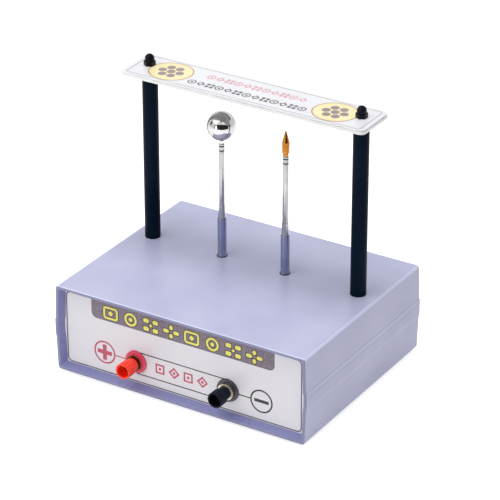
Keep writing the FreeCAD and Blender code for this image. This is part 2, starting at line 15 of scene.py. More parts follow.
import bpy
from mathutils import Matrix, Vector


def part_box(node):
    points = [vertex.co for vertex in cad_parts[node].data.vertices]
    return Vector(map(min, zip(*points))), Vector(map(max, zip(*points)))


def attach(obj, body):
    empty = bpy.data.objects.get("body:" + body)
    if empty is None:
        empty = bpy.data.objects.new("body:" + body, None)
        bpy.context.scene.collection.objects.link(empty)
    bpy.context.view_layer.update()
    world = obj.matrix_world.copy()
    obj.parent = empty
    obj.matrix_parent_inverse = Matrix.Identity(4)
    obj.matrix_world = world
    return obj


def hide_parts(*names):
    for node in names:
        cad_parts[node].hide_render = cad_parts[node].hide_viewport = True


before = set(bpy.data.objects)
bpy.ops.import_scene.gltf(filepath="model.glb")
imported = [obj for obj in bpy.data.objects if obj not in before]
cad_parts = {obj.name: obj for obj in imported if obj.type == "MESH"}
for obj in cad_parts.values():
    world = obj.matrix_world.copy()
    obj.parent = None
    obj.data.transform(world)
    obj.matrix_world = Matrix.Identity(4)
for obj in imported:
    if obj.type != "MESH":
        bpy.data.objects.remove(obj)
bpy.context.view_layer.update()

MM = 0.001
NEAR = 0.02 * MM            # two places nearer than this are the same place
DOUBLED = 0.002 * MM        # two points nearer than this are merged
SHARP = 35.0                # degrees: an edge that turns more than this is softened
STEPS = 64                  # faces round a turned piece
HOLE_STEPS = 32             # faces round a drilled hole
PAST = 1.0 * MM             # how far a cutting piece reaches past what it cuts

log = logging.getLogger("demonstrator")

Point = tuple[float, float]
Place = tuple[float, float, float]
Tree = bpy.types.NodeTree
Socket = bpy.types.NodeSocket


# ---------------------------------------------------------------- bench
class Element(Enum):
    """What an edit picks on a mesh."""

    POINT = "VERT"
    EDGE = "EDGE"
    FACE = "FACE"


class Action(Enum):
    """What another piece does to a piece."""

    CUT = "DIFFERENCE"
    JOIN = "UNION"
    KEEP = "INTERSECT"


def axis_of(node: str) -> Point:
    """Return the X and Y of the upright axis in the middle of a CAD node."""
    low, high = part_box(node)
    return (low.x + high.x) / 2, (low.y + high.y) / 2


def corners(x: float, y: float, dx: float, dy: float) -> list[Point]:
    """Return the four corners round a middle."""
    return [(x + i * dx, y + j * dy) for i in (-1, 1) for j in (-1, 1)]


def stand_clear() -> None:
    """Leave edit mode and deselect every object."""
    active = bpy.context.view_layer.objects.active
    if active is not None and active.mode != "OBJECT":
        bpy.ops.object.mode_set(mode="OBJECT")
    bpy.ops.object.select_all(action="DESELECT")


class Workpiece:
    """One mesh on the bench, shaped with the modelling operators."""

    def __init__(self, name: str) -> None:
        """Take the mesh that was just added, and name it.

        Args:
            name: name of the piece.
        """
        self.solid: bpy.types.Object = bpy.context.object
        self.solid.name = name
        self.solid.data.name = name

    @classmethod
    def block(cls, name: str, low: Sequence[float], high: Sequence[float]) -> Workpiece:
        """Add a block between two corners.

        Args:
            name: name of the piece.
            low: lowest corner.
            high: highest corner.

        Returns:
            The block, ready to be shaped.
        """
        stand_clear()
        size = [b - a for a, b in zip(low, high)]
        middle = [(a + b) / 2 for a, b in zip(low, high)]
        bpy.ops.mesh.primitive_cube_add(size=1, location=middle, scale=size)
        piece = cls(name)
        piece.set_place()
        return piece

    @classmethod
    def prism(cls, name: str, radius: float, low: float, high: float, sides: int = STEPS) -> Workpiece:
        """Add a prism or a plain round bar about Z.

        Args:
            name: name of the piece.
            radius: distance from the axis to a corner.
            low: height of its lower end.
            high: height of its upper end.
            sides: number of sides.

        Returns:
            The prism, ready to be shaped.
        """
        stand_clear()
        bpy.ops.mesh.primitive_cylinder_add(vertices=sides, radius=radius, depth=high - low,
                                            location=(0, 0, (low + high) / 2))
        piece = cls(name)
        piece.set_place()
        return piece

    @classmethod
    def tube(cls, name: str, bore: float, radius: float, low: float, high: float, soften: float = 0.0,
             steps: int = STEPS) -> Workpiece:
        """Turn a plain tube or washer about Z, from its bore's radius, its own and its two ends."""
        profile = [(bore, low), (radius, low), (radius, high), (bore, high), (bore, low)]
        return cls.turned(name, profile, soften, steps)

    @classmethod
    def turned(cls, name: str, profile: Sequence[Point], soften: float = 0.0,
               steps: int = STEPS) -> Workpiece:
        """Draw a profile point by point and spin it about Z.

        Args:
            name: name of the piece.
            profile: (radius, height) points. A profile that starts off the axis ends where it starts.
            soften: width of the small bevel on its sharp rings.
            steps: faces round the piece.

        Returns:
            The turned piece, with its faces outwards.
        """
        stand_clear()
        bpy.ops.mesh.primitive_plane_add(size=MM)
        piece = cls(name)
        bpy.ops.object.mode_set(mode="EDIT")
        bpy.ops.mesh.select_mode(type=Element.POINT.value)
        bpy.ops.mesh.select_all(action="SELECT")
        bpy.ops.mesh.merge(type="CENTER")
        bpy.ops.transform.translate(value=(profile[0][0], 0, profile[0][1]))
        for (radius, height), (next_radius, next_height) in zip(profile, profile[1:]):
            step = (next_radius - radius, 0, next_height - height)
            bpy.ops.mesh.extrude_vertices_move(TRANSFORM_OT_translate={"value": step})
        bpy.ops.mesh.select_all(action="SELECT")
        bpy.ops.mesh.spin(steps=steps, angle=2 * pi, center=(0, 0, 0), axis=(0, 0, 1))
        piece.close_up()
        if soften:
            piece.soften(soften)
        return piece

    def take_up(self) -> None:
        """Make this the only selected object."""
        stand_clear()
        self.solid.select_set(True)
        bpy.context.view_layer.objects.active = self.solid

    def set_place(self) -> None:
        """Put the object's place, turn and size into its mesh."""
        self.take_up()
        bpy.ops.object.transform_apply(location=True, rotation=True, scale=True)

    def pick(self, element: Element, wanted: Callable[..., bool]) -> int:
        """Select what passes a test, and stay in edit mode.

        Args:
            element: what to select.
            wanted: takes a point, an edge's two ends, or a face's centre and normal.

        Returns:
            How many were selected.
        """
        self.take_up()
        bpy.ops.object.mode_set(mode="EDIT")
        bpy.ops.mesh.select_mode(type=element.value)
        bpy.ops.mesh.select_all(action="DESELECT")
        bpy.ops.object.mode_set(mode="OBJECT")
        mesh = self.solid.data
        chosen = 0
        if element is Element.POINT:
            tests = [(point, wanted(point.co)) for point in mesh.vertices]
        elif element is Element.EDGE:
            tests = [(edge, wanted(*(mesh.vertices[k].co for k in edge.vertices))) for edge in mesh.edges]
        else:
            tests = [(face, wanted(face.center, face.normal)) for face in mesh.polygons]
        for item, passes in tests:
            item.select = passes
            chosen += passes
        bpy.ops.object.mode_set(mode="EDIT")
        return chosen

    def close_up(self) -> None:
        """Merge doubled points and turn every face outwards."""
        self.take_up()
        bpy.ops.object.mode_set(mode="EDIT")
        bpy.ops.mesh.select_all(action="SELECT")
        bpy.ops.mesh.remove_doubles(threshold=DOUBLED)
        bpy.ops.mesh.normals_make_consistent(inside=False)
        bpy.ops.object.mode_set(mode="OBJECT")

    def slice(self, height: float, **options: bool) -> None:
        """Cut every face through at a height, and stay in edit mode.

        Args:
            height: where to cut.
            options: the bisect operator's own settings.
        """
        self.pick(Element.FACE, lambda centre, normal: True)
        bpy.ops.mesh.bisect(plane_co=(0, 0, height), plane_no=(0, 0, 1), **options)

    def round_off(self, width: float, segments: int, wanted: Callable[[Vector, Vector], bool]) -> None:
        """Bevel the edges that pass a test, and stay in edit mode.

        Args:
            width: width of the bevel.
            segments: facets across it.
            wanted: takes an edge's two ends.
        """
        self.pick(Element.EDGE, wanted)
        bpy.ops.mesh.bevel(offset=width, segments=segments, affect="EDGES")

    def soften(self, width: float) -> None:
        """Bevel the sharp edges.

        Args:
            width: width of the bevel.
        """
        self.take_up()
        edge = self.solid.modifiers.new("edge", "BEVEL")
        edge.width = width
        edge.segments = 2
        edge.limit_method = "ANGLE"
        edge.angle_limit = radians(SHARP)
        bpy.ops.object.modifier_apply(modifier=edge.name)

    def combine(self, other: Workpiece, action: Action) -> None:
        """Cut, join or keep what another piece covers, and use that piece up.

        Args:
            other: the piece that acts on this one.
            action: what it does.
        """
        self.take_up()
        tool = self.solid.modifiers.new("tool", "BOOLEAN")
        tool.operation = action.value
        tool.solver = "EXACT"
        tool.object = other.solid
        bpy.ops.object.modifier_apply(modifier=tool.name)
        bpy.data.objects.remove(other.solid)

    def drill(self, node: str, clearance: float, low: float, high: float) -> None:
        """Drill the hole that a round CAD node passes through.

        Args:
            node: the rod or tube.
            clearance: how much wider the hole's radius is than the node's.
            low: height of the hole's lower end.
            high: height of its upper end.
        """
        start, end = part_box(node)
        drill = Workpiece.prism("drill", (end.x - start.x) / 2 + clearance, low, high, HOLE_STEPS)
        drill.move((*axis_of(node), 0))
        self.combine(drill, Action.CUT)

    def add(self, other: Workpiece) -> None:
        """Join another piece's mesh to this one as it is.

        Args:
            other: the piece, which is used up.
        """
        self.take_up()
        other.solid.select_set(True)
        bpy.ops.object.join()

    def repeat(self, name: str, places: Sequence[Sequence[float]]) -> Workpiece:
        """Set copies of the piece at several places, join them and use the piece up.

        Args:
            name: name of the joined copies.
            places: how far each copy is moved.

        Returns:
            The joined copies.
        """
        copies = [self.copy(name) for _ in places]
        for one, place in zip(copies, places):
            one.move(place)
        for one in copies[1:]:
            copies[0].add(one)
        bpy.data.objects.remove(self.solid)
        return copies[0]

    def move(self, place: Sequence[float]) -> None:
        """Move the piece, into its mesh.

        Args:
            place: how far along X, Y and Z.
        """
        self.take_up()
        bpy.ops.transform.translate(value=tuple(place))
        self.set_place()

    def face_front(self) -> None:
        """Turn a piece made about Z so that its Z points out of the front."""
        self.take_up()
        self.solid.rotation_euler = (radians(90), 0, 0)
        self.set_place()

    def copy(self, name: str) -> Workpiece:
        """Copy the piece.

        Args:
            name: name of the copy.

        Returns:
            The copy, with its own mesh.
        """
        self.take_up()
        bpy.ops.object.duplicate(linked=False)
        return Workpiece(name)

    def shade(self, angle: float) -> None:
        """Shade smoothly up to an angle, with flat faces kept flat.

        Args:
            angle: sharpest turn in degrees that is shaded smoothly.
        """
        self.take_up()
        bpy.ops.object.shade_smooth_by_angle(angle=radians(angle))
        weight = self.solid.modifiers.new("weight", "WEIGHTED_NORMAL")
        weight.keep_sharp = True
        bpy.ops.object.modifier_apply(modifier=weight.name)

    def tint(self, finish: Finish, wanted: Callable[[Vector, Vector], bool]) -> None:
        """Give some faces of a finished piece a second surface.

        Args:
            finish: their surface.
            wanted: takes a face's centre and normal.
        """
        self.pick(Element.FACE, wanted)
        self.solid.data.materials.append(finish.material())
        self.solid.active_material_index = len(self.solid.data.materials) - 1
        bpy.ops.object.material_slot_assign()
        stand_clear()

    def finish(self, finish: Finish, slot: str, body: str, *nodes: str) -> bpy.types.Object:
        """Give the piece its material and its body, and hide the CAD nodes that it stands for.

        Args:
            finish: its surface.
            slot: the record's material slot; not used.
            body: the body that it moves with.
            nodes: the CAD nodes that it replaces.

        Returns:
            The finished object.
        """
        stand_clear()
        self.solid.data.materials.clear()
        self.solid.data.materials.append(finish.material())
        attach(self.solid, body)
        if nodes:
            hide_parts(*nodes)
        log.info("%s: %d faces, on %s", self.solid.name, len(self.solid.data.polygons), body)
        return self.solid


def arc(centre: Point, radius: float, first: float, last: float, steps: int = 6) -> list[Point]:
    """Lay out the points of a profile's round stretch.

    Args:
        centre: middle of the arc.
        radius: its radius.
        first: angle of its first point, in degrees from the radius direction.
        last: angle of its last point.
        steps: straight steps along it.

    Returns:
        The points, from first to last.
    """
    angles = [radians(first + (last - first) * k / steps) for k in range(steps + 1)]
    return [(centre[0] + radius * cos(a), centre[1] + radius * sin(a)) for a in angles]


# ---------------------------------------------------------------- finishes
def colour(value: str) -> tuple[float, float, float, float]:
    """Turn an sRGB value to a linear one.

    Args:
        value: red, green and blue in hex, such as #A0B1C2.

    Returns:
        Linear red, green, blue and alpha.
    """
    parts = [int(value[k:k + 2], 16) / 255 for k in (1, 3, 5)]
    red, green, blue = (c / 12.92 if c <= 0.04045 else ((c + 0.055) / 1.055) ** 2.4 for c in parts)
    return red, green, blue, 1.0


def add_node(tree: Tree, kind: str, inputs: dict | None = None,
             stops: Sequence[tuple[float, str]] = (), **settings: object) -> bpy.types.Node:
    """Add a node with its settings, values and links.

    Args:
        tree: the material's or the world's node tree.
        kind: the node's type.
        inputs: a value or another node's output socket for each input, by name or number.
        stops: places and sRGB colours of a colour ramp.
        settings: the node's own properties.

    Returns:
        The node.
    """
    node = tree.nodes.new(kind)
    for name, value in settings.items():
        setattr(node, name, value)
    for name, value in (inputs or {}).items():
        if isinstance(value, Socket):
            tree.links.new(value, node.inputs[name])
        else:
            node.inputs[name].default_value = value
    if stops:
        elements = node.color_ramp.elements
        while len(elements) < len(stops):
            elements.new(1.0)
        for element, (place, shade) in zip(elements, stops):
            element.position = place
            element.color = colour(shade)
    return node


@dataclass(frozen=True)
class Ground:
    """A material's node tree, and the places on the piece that its patterns read."""

    tree: Tree
    place: Socket
    stretched: Socket               # the same, drawn out along the grain


@dataclass(frozen=True)
class Finish:
    """A surface: its shades and the clouding, gloss and grain that it shows."""

    name: str
    dark: str
    light: str
    roughness: float = 0.4
    gloss_change: float = 0.04      # how far the roughness wanders
    metallic: float = 0.0
    ior: float = 1.5
    cloud: float = 30 * MM          # size of the soft change of shade
    grain: float = 0.4 * MM         # coarser than the real grain, so that it shows
    relief: float = 0.004 * MM      # its depth
    specular: float = 0.5
    stretch: Place = (1.0, 1.0, 1.0)   # grain drawn out along an axis below 1

    def material(self) -> bpy.types.Material:
        """Make the material the first time that it is asked for.

        Returns:
            The material.
        """
        known = bpy.data.materials.get(self.name)
        if known is not None:
            return known
        material = bpy.data.materials.new(self.name)
        material.use_nodes = True
        tree = material.node_tree
        tree.nodes.clear()
        place = add_node(tree, "ShaderNodeTexCoord").outputs["Object"]
        stretched = add_node(tree, "ShaderNodeMapping", {"Vector": place, "Scale": self.stretch})
        ground = Ground(tree, place, stretched.outputs["Vector"])
        surface = add_node(tree, "ShaderNodeBsdfPrincipled", {
            "Base Color": self.tint(ground), "Roughness": self.gloss(ground),
            "Normal": self.surface_relief(ground), "Metallic": self.metallic,
            "Specular IOR Level": self.specular})
        if not self.metallic:
            surface.inputs["IOR"].default_value = self.ior
        add_node(tree, "ShaderNodeOutputMaterial", {"Surface": surface.outputs["BSDF"]})
        material.diffuse_color = colour(self.light)
        return material

    def tint(self, ground: Ground) -> Socket:
        """Let the colour drift softly between the two shades.

        Args:
            ground: the material's tree and coordinates.

        Returns:
            The colour.
        """
        noise = add_node(ground.tree, "ShaderNodeTexNoise",
                         {"Vector": ground.place, "Scale": 1 / self.cloud, "Detail": 3.0})
        ramp = add_node(ground.tree, "ShaderNodeValToRGB", {"Fac": noise.outputs["Fac"]},
                        stops=((0.32, self.dark), (0.68, self.light)))
        return ramp.outputs["Color"]

    def gloss(self, ground: Ground) -> Socket:
        """Let the roughness wander over a few millimetres, as on a handled surface.

        Args:
            ground: the material's tree and coordinates.

        Returns:
            The roughness.
        """
        noise = add_node(ground.tree, "ShaderNodeTexNoise",
                         {"Vector": ground.stretched, "Scale": 3 / self.cloud, "Detail": 4.0})
        spread = add_node(ground.tree, "ShaderNodeMapRange", {
            "Value": noise.outputs["Fac"], "From Min": 0.3, "From Max": 0.7,
            "To Min": max(self.roughness - self.gloss_change, 0.02),
            "To Max": self.roughness + self.gloss_change})
        return spread.outputs["Result"]

    def surface_relief(self, ground: Ground) -> Socket:
        """Raise a fine, even grain.

        Args:
            ground: the material's tree and coordinates.

        Returns:
            The normal.
        """
        noise = add_node(ground.tree, "ShaderNodeTexNoise", {
            "Vector": ground.stretched, "Scale": 1 / self.grain, "Detail": 2.0, "Roughness": 0.6})
        bump = add_node(ground.tree, "ShaderNodeBump",
                        {"Height": noise.outputs["Fac"], "Strength": 1.0, "Distance": self.relief})
        return bump.outputs["Normal"]


@dataclass(frozen=True)
class MouldedPlastic(Finish):
    """Injection-moulded plastic: fine spark-eroded grain, with faint flow waves over it."""

    flow: float = 22 * MM           # length of a flow wave
    flow_depth: float = 0.006 * MM

    def surface_relief(self, ground: Ground) -> Socket:
        """Lay the grain on top of the flow waves.

        Args:
            ground: the material's tree and coordinates.

        Returns:
            The normal.
        """
        grain = super().surface_relief(ground)
        wave = add_node(ground.tree, "ShaderNodeTexNoise",
                        {"Vector": ground.place, "Scale": 1 / self.flow, "Detail": 1.0})
        bump = add_node(ground.tree, "ShaderNodeBump", {
            "Height": wave.outputs["Fac"], "Strength": 1.0, "Distance": self.flow_depth, "Normal": grain})
        return bump.outputs["Normal"]


@dataclass(frozen=True)
class TurnedMetal(Finish):
    """Metal off a lathe: fine rings about the axis that it was turned on."""

    pitch: float = 0.35 * MM        # coarser than the tool's feed, so that the rings show
    ring_depth: float = 0.0015 * MM
    along: str = "Z"                # axis that it was turned on

    def surface_relief(self, ground: Ground) -> Socket:
        """Cut the tool's rings over the metal's own grain.

        Args:
            ground: the material's tree and coordinates.

        Returns:
            The normal.
        """
        grain = super().surface_relief(ground)
        rings = add_node(ground.tree, "ShaderNodeTexWave", {
            "Vector": ground.place, "Scale": 1 / (self.pitch * 2 * pi), "Distortion": 0.6, "Detail": 1.0},
            bands_direction=self.along)
        bump = add_node(ground.tree, "ShaderNodeBump", {
            "Height": rings.outputs["Fac"], "Strength": 1.0, "Distance": self.ring_depth, "Normal": grain})
        return bump.outputs["Normal"]


@dataclass(frozen=True)
class SpeckledPrint(Finish):
    """Screen-printed ink on film: an even coat with the mesh's faint mottle."""

    mottle: float = 0.9 * MM        # coarser than the screen's mesh, so that it shows
    mottle_share: float = 0.06      # how much the film shows through at most

    def tint(self, ground: Ground) -> Socket:
        """Let the ink be a little thinner in small spots.

        Args:
            ground: the material's tree and coordinates.

        Returns:
            The colour.
        """
        base = super().tint(ground)
        spots = add_node(ground.tree, "ShaderNodeTexNoise",
                         {"Vector": ground.place, "Scale": 1 / self.mottle, "Detail": 2.0})
        share = add_node(ground.tree, "ShaderNodeMapRange", {
            "Value": spots.outputs["Fac"], "From Min": 0.35, "From Max": 0.75, "To Min": 0.0,
            "To Max": self.mottle_share})
        mix = add_node(ground.tree, "ShaderNodeMix", {
            0: share.outputs["Result"], 6: base, 7: colour("#FFFFFF")}, data_type="RGBA")
        return mix.outputs[2]


# ABS, injection moulded: satin lavender with a fine grain
CASE_ABS = MouldedPlastic("abs_lavender", "#B1B2CF", "#BCBDD8", roughness=0.36, ior=1.53, cloud=45 * MM)
# the same ABS in the two mouths, a little glossier, with painted shade: a deeper colour for the shade that
# falls there
MOUTH_SHADE_ABS = replace(CASE_ABS, name="abs_lavender_mouth_painted_shade", dark="#7D7FAE", light="#8789B8", roughness=0.3)
# the same ABS on the flat of the rims, duller, with painted shade: greyer and darker
RIM_SHADE_ABS = replace(CASE_ABS, name="abs_lavender_rim_painted_shade", dark="#7D7E98", light="#8788A2", roughness=0.42)
# the same ABS along the deck's edges and the belt's, glossier, with a painted highlight: a pale line of
# light
EDGE_HIGHLIGHT_ABS = replace(CASE_ABS, name="abs_lavender_edge_painted_highlight", dark="#CBCCE7", light="#D5D6EF", roughness=0.3)
# rigid PVC sheet: even and pale, duller than the film on it
PANEL_PVC = Finish("pvc_sheet", "#D8D6DC", "#E4E2E8", roughness=0.5, ior=1.53)
# polyester label film: nearly white with a faint warm grey, satin
LABEL_FILM = Finish("polyester_film", "#D8D5D9", "#DFDCDF", roughness=0.34, ior=1.57, cloud=60 * MM,
                    grain=1.6 * MM, relief=0.003 * MM)
# gloss film on the plate: white, with a soft sheen
PLATE_FILM = Finish("gloss_film", "#DCDCE0", "#E3E3E6", roughness=0.28, cloud=60 * MM, grain=2.2 * MM)
# aluminium sheet, lacquered: pale and satin, with the rolling lines faint along its length
PLATE_ALUMINIUM = Finish("lacquered_aluminium", "#DEDEDB", "#EBEBE8", roughness=0.3, metallic=0.2,
                         cloud=12 * MM, grain=0.5 * MM, stretch=(0.06, 1.0, 1.0))
# the same sheet on the underside, duller, with painted shade: a darker grey for the shade under the plate
UNDERSIDE_SHADE_ALUMINIUM = replace(PLATE_ALUMINIUM, name="aluminium_underside_painted_shade", dark="#B4B4B2", light="#C0C0BE",
                         roughness=0.36, metallic=0.3)
# PVC tube, extruded: blue-black with faint die lines along it
COLUMN_PVC = Finish("pvc_tube_black", "#051220", "#0B1929", roughness=0.34, ior=1.53, specular=0.03,
                    grain=0.5 * MM, relief=0.008 * MM, stretch=(1.0, 1.0, 0.03))
# nylon, moulded: glossy black
NYLON = MouldedPlastic("nylon_black", "#05070F", "#0B0F1B", roughness=0.25, ior=1.53, specular=0.12,
                       flow=5 * MM)
# chromium plate on drawn brass tube: a mirror with faint draw lines along it
CHROME_TUBE = Finish("chromium_plate_drawn", "#A3A4A3", "#B8B9B8", roughness=0.1, gloss_change=0.03,
                     metallic=1.0, cloud=9 * MM, grain=0.45 * MM, relief=0.0012 * MM,
                     stretch=(1.0, 1.0, 0.02))
# the same plate on the two base tubes, thicker: a blue cast
CHROME_BASE = replace(CHROME_TUBE, name="chromium_plate_blue", dark="#9095AE", light="#A2A6BC",
                      roughness=0.12)
# chromium plate in the plugs' grooves, with painted shade: nearly black
GROOVE_SHADE_CHROME = Finish("chromium_groove_painted_shade", "#22221F", "#33332E", roughness=0.45, metallic=0.6,
                        cloud=3 * MM)
# chromium plate on a turned ball: a clean mirror
CHROME_BALL = Finish("chromium_plate_polished", "#BFBFBC", "#CBCBC8", roughness=0.045, gloss_change=0.015,
                     metallic=1.0, cloud=14 * MM, grain=3 * MM, relief=0.001 * MM)
# brass, turned and left bright: golden brown with the tool's rings
TIP_BRASS = TurnedMetal("brass_turned", "#98601F", "#C2853A", roughness=0.24, metallic=1.0, cloud=5 * MM)
# brass of the posts' nuts, bushes and inserts, turned: yellower than the tip's
POST_BRASS = TurnedMetal("brass_post", "#A88A3E", "#D2B765", roughness=0.26, metallic=1.0, cloud=4 * MM,
                         along="Y")
# the same brass on the red post's stem, with painted shade and dark reflections: a dull tan
RED_POST_SHADE_BRASS = replace(POST_BRASS, name="brass_red_post_painted_shade", dark="#5E4520", light="#8A6C34", roughness=0.3,
                      cloud=3 * MM)
# the same brass under worn plate on the black post's stem: pale and silvery
PALE_BRASS = replace(POST_BRASS, name="brass_silvered", dark="#B4AE8C", light="#D9D4BC", roughness=0.22,
                     cloud=3 * MM)
# the clamp washer under the red cap, with painted shade and dark reflections of the red parts: a deep
# chestnut
RED_POST_SHADE_WASHER = replace(POST_BRASS, name="bronze_red_post_painted_shade", dark="#3E2114", light="#5C3524", roughness=0.34,
                       cloud=3 * MM)
# nickel plate on turned brass: warm silver
NICKEL = TurnedMetal("nickel_plate", "#B9B4A8", "#D6D2C6", roughness=0.2, metallic=1.0, cloud=4 * MM,
                     along="Y")
# zinc-plated steel: grey with a faint blue
ZINC_STEEL = Finish("zinc_plated_steel", "#A3A8AE", "#BFC4CA", roughness=0.3, metallic=1.0, cloud=4 * MM)
# tinned copper: dull silver
TINNED_COPPER = Finish("tinned_copper", "#A9A8A2", "#C6C5BE", roughness=0.36, metallic=1.0, cloud=5 * MM)
# phenolic washer, pressed: dark brown-grey and dull
PHENOLIC = Finish("phenolic_dark", "#17151C", "#26232C", roughness=0.45, cloud=4 * MM)
# ABS cap, injection moulded: bright orange-red with a soft gloss
RED_CAP = MouldedPlastic("abs_red", "#FF2A0C", "#FF3C1C", roughness=0.3, ior=1.53, cloud=9 * MM,
                         flow=6 * MM)
# nylon collar, moulded: a cooler, paler red than the cap's
RED_COLLAR = MouldedPlastic("nylon_red", "#D63654", "#E24763", roughness=0.3, cloud=9 * MM, flow=6 * MM)
# ABS cap, injection moulded: blue-black with a weak gloss
BLACK_CAP = MouldedPlastic("abs_black", "#060E1C", "#0C1728", roughness=0.28, ior=1.53, specular=0.1,
                           cloud=7 * MM, flow=6 * MM)
# nylon collar, moulded: a dark grey that stands out from the black cap
BLACK_COLLAR = MouldedPlastic("nylon_dark", "#37323A", "#454048", roughness=0.3, cloud=9 * MM, flow=6 * MM)
# rubber, moulded: matt black
FOOT_RUBBER = MouldedPlastic("rubber_black", "#15161A", "#212328", roughness=0.7, grain=0.3 * MM,
                             relief=0.012 * MM)
# soft PVC, extruded on the red lead: even red, satin
RED_PVC = Finish("pvc_wire_red", "#B3201C", "#C92B26", roughness=0.42, cloud=8 * MM)
# soft PVC, extruded on the black lead: even black, satin
BLACK_PVC = Finish("pvc_wire_black", "#101114", "#1B1C20", roughness=0.42, cloud=8 * MM)

# screen-printed ink in the banner: a dusty violet grey, with the most mottle
INK_MAUVE = SpeckledPrint("ink_mauve_grey", "#665866", "#706271", roughness=0.42, mottle_share=0.1)
# the banner's ornaments: a soft lemon yellow
INK_YELLOW = SpeckledPrint("ink_yellow", "#E4D854", "#ECE268")
# the ornaments' dark edge: olive black
INK_OLIVE = SpeckledPrint("ink_olive_black", "#211D12", "#2C281C", roughness=0.42, mottle_share=0.02)
# the panel's frame and the banner's edge: mid grey
INK_GREY = SpeckledPrint("ink_grey_line", "#4E4A52", "#5C5860", roughness=0.42)
# the minus and the two rules: full black
INK_BLACK = SpeckledPrint("ink_black", "#060709", "#0E1013", mottle_share=0.03)
# the plus and the lozenges beside it: crimson
INK_CRIMSON = SpeckledPrint("ink_crimson", "#AE2F4C", "#BF405D")
# the plate's rear row: a washed-out rose
INK_ROSE = SpeckledPrint("ink_rose", "#CF9AA2", "#D8A8AF")
# the plate's front row: slate grey
INK_SLATE = SpeckledPrint("ink_slate", "#5F5E61", "#6E6D70")
# the line along the plate's edge: pale grey
INK_LINE = SpeckledPrint("ink_pale_grey", "#9C9D9E", "#AAABAC")
# the plate's discs: pale straw
INK_STRAW = SpeckledPrint("ink_straw", "#EADCA4", "#F0E3B2", cloud=14 * MM)
# the rims of the discs: faded rust
INK_RUST = SpeckledPrint("ink_rust", "#B08874", "#BC9682")
# the rosettes in the discs: taupe
INK_TAUPE = SpeckledPrint("ink_taupe", "#8C7C7C", "#988888")

# the finish of each material slot that CAD nodes carry
CARRIED = {
    "case_plastic": CASE_ABS, "panel_plastic": PANEL_PVC, "panel_print": LABEL_FILM,
    "plate_print": PLATE_FILM, "plate_metal": PLATE_ALUMINIUM, "column_plastic": COLUMN_PVC,
    "nylon": NYLON, "plated_steel": ZINC_STEEL, "chrome_plate": CHROME_TUBE, "tip_brass": TIP_BRASS,
    "dark_insulator": PHENOLIC, "tinned_copper": TINNED_COPPER, "post_brass": POST_BRASS,
    "post_nickel": NICKEL, "red_cap_plastic": RED_CAP, "red_collar_plastic": RED_COLLAR,
    "black_cap_plastic": BLACK_CAP, "black_collar_plastic": BLACK_COLLAR, "foot_rubber": FOOT_RUBBER,
    "red_insulation": RED_PVC, "black_insulation": BLACK_PVC,
}


def dress_carried_nodes() -> None:
    """Give every CAD node that still shows the finish of its material slot."""
    for name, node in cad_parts.items():
        if node.hide_render:
            continue
        for holder in node.material_slots:
            holder.material = CARRIED[holder.material.name.split(".")[0]].material()
        log.info("%s: carried over", name)


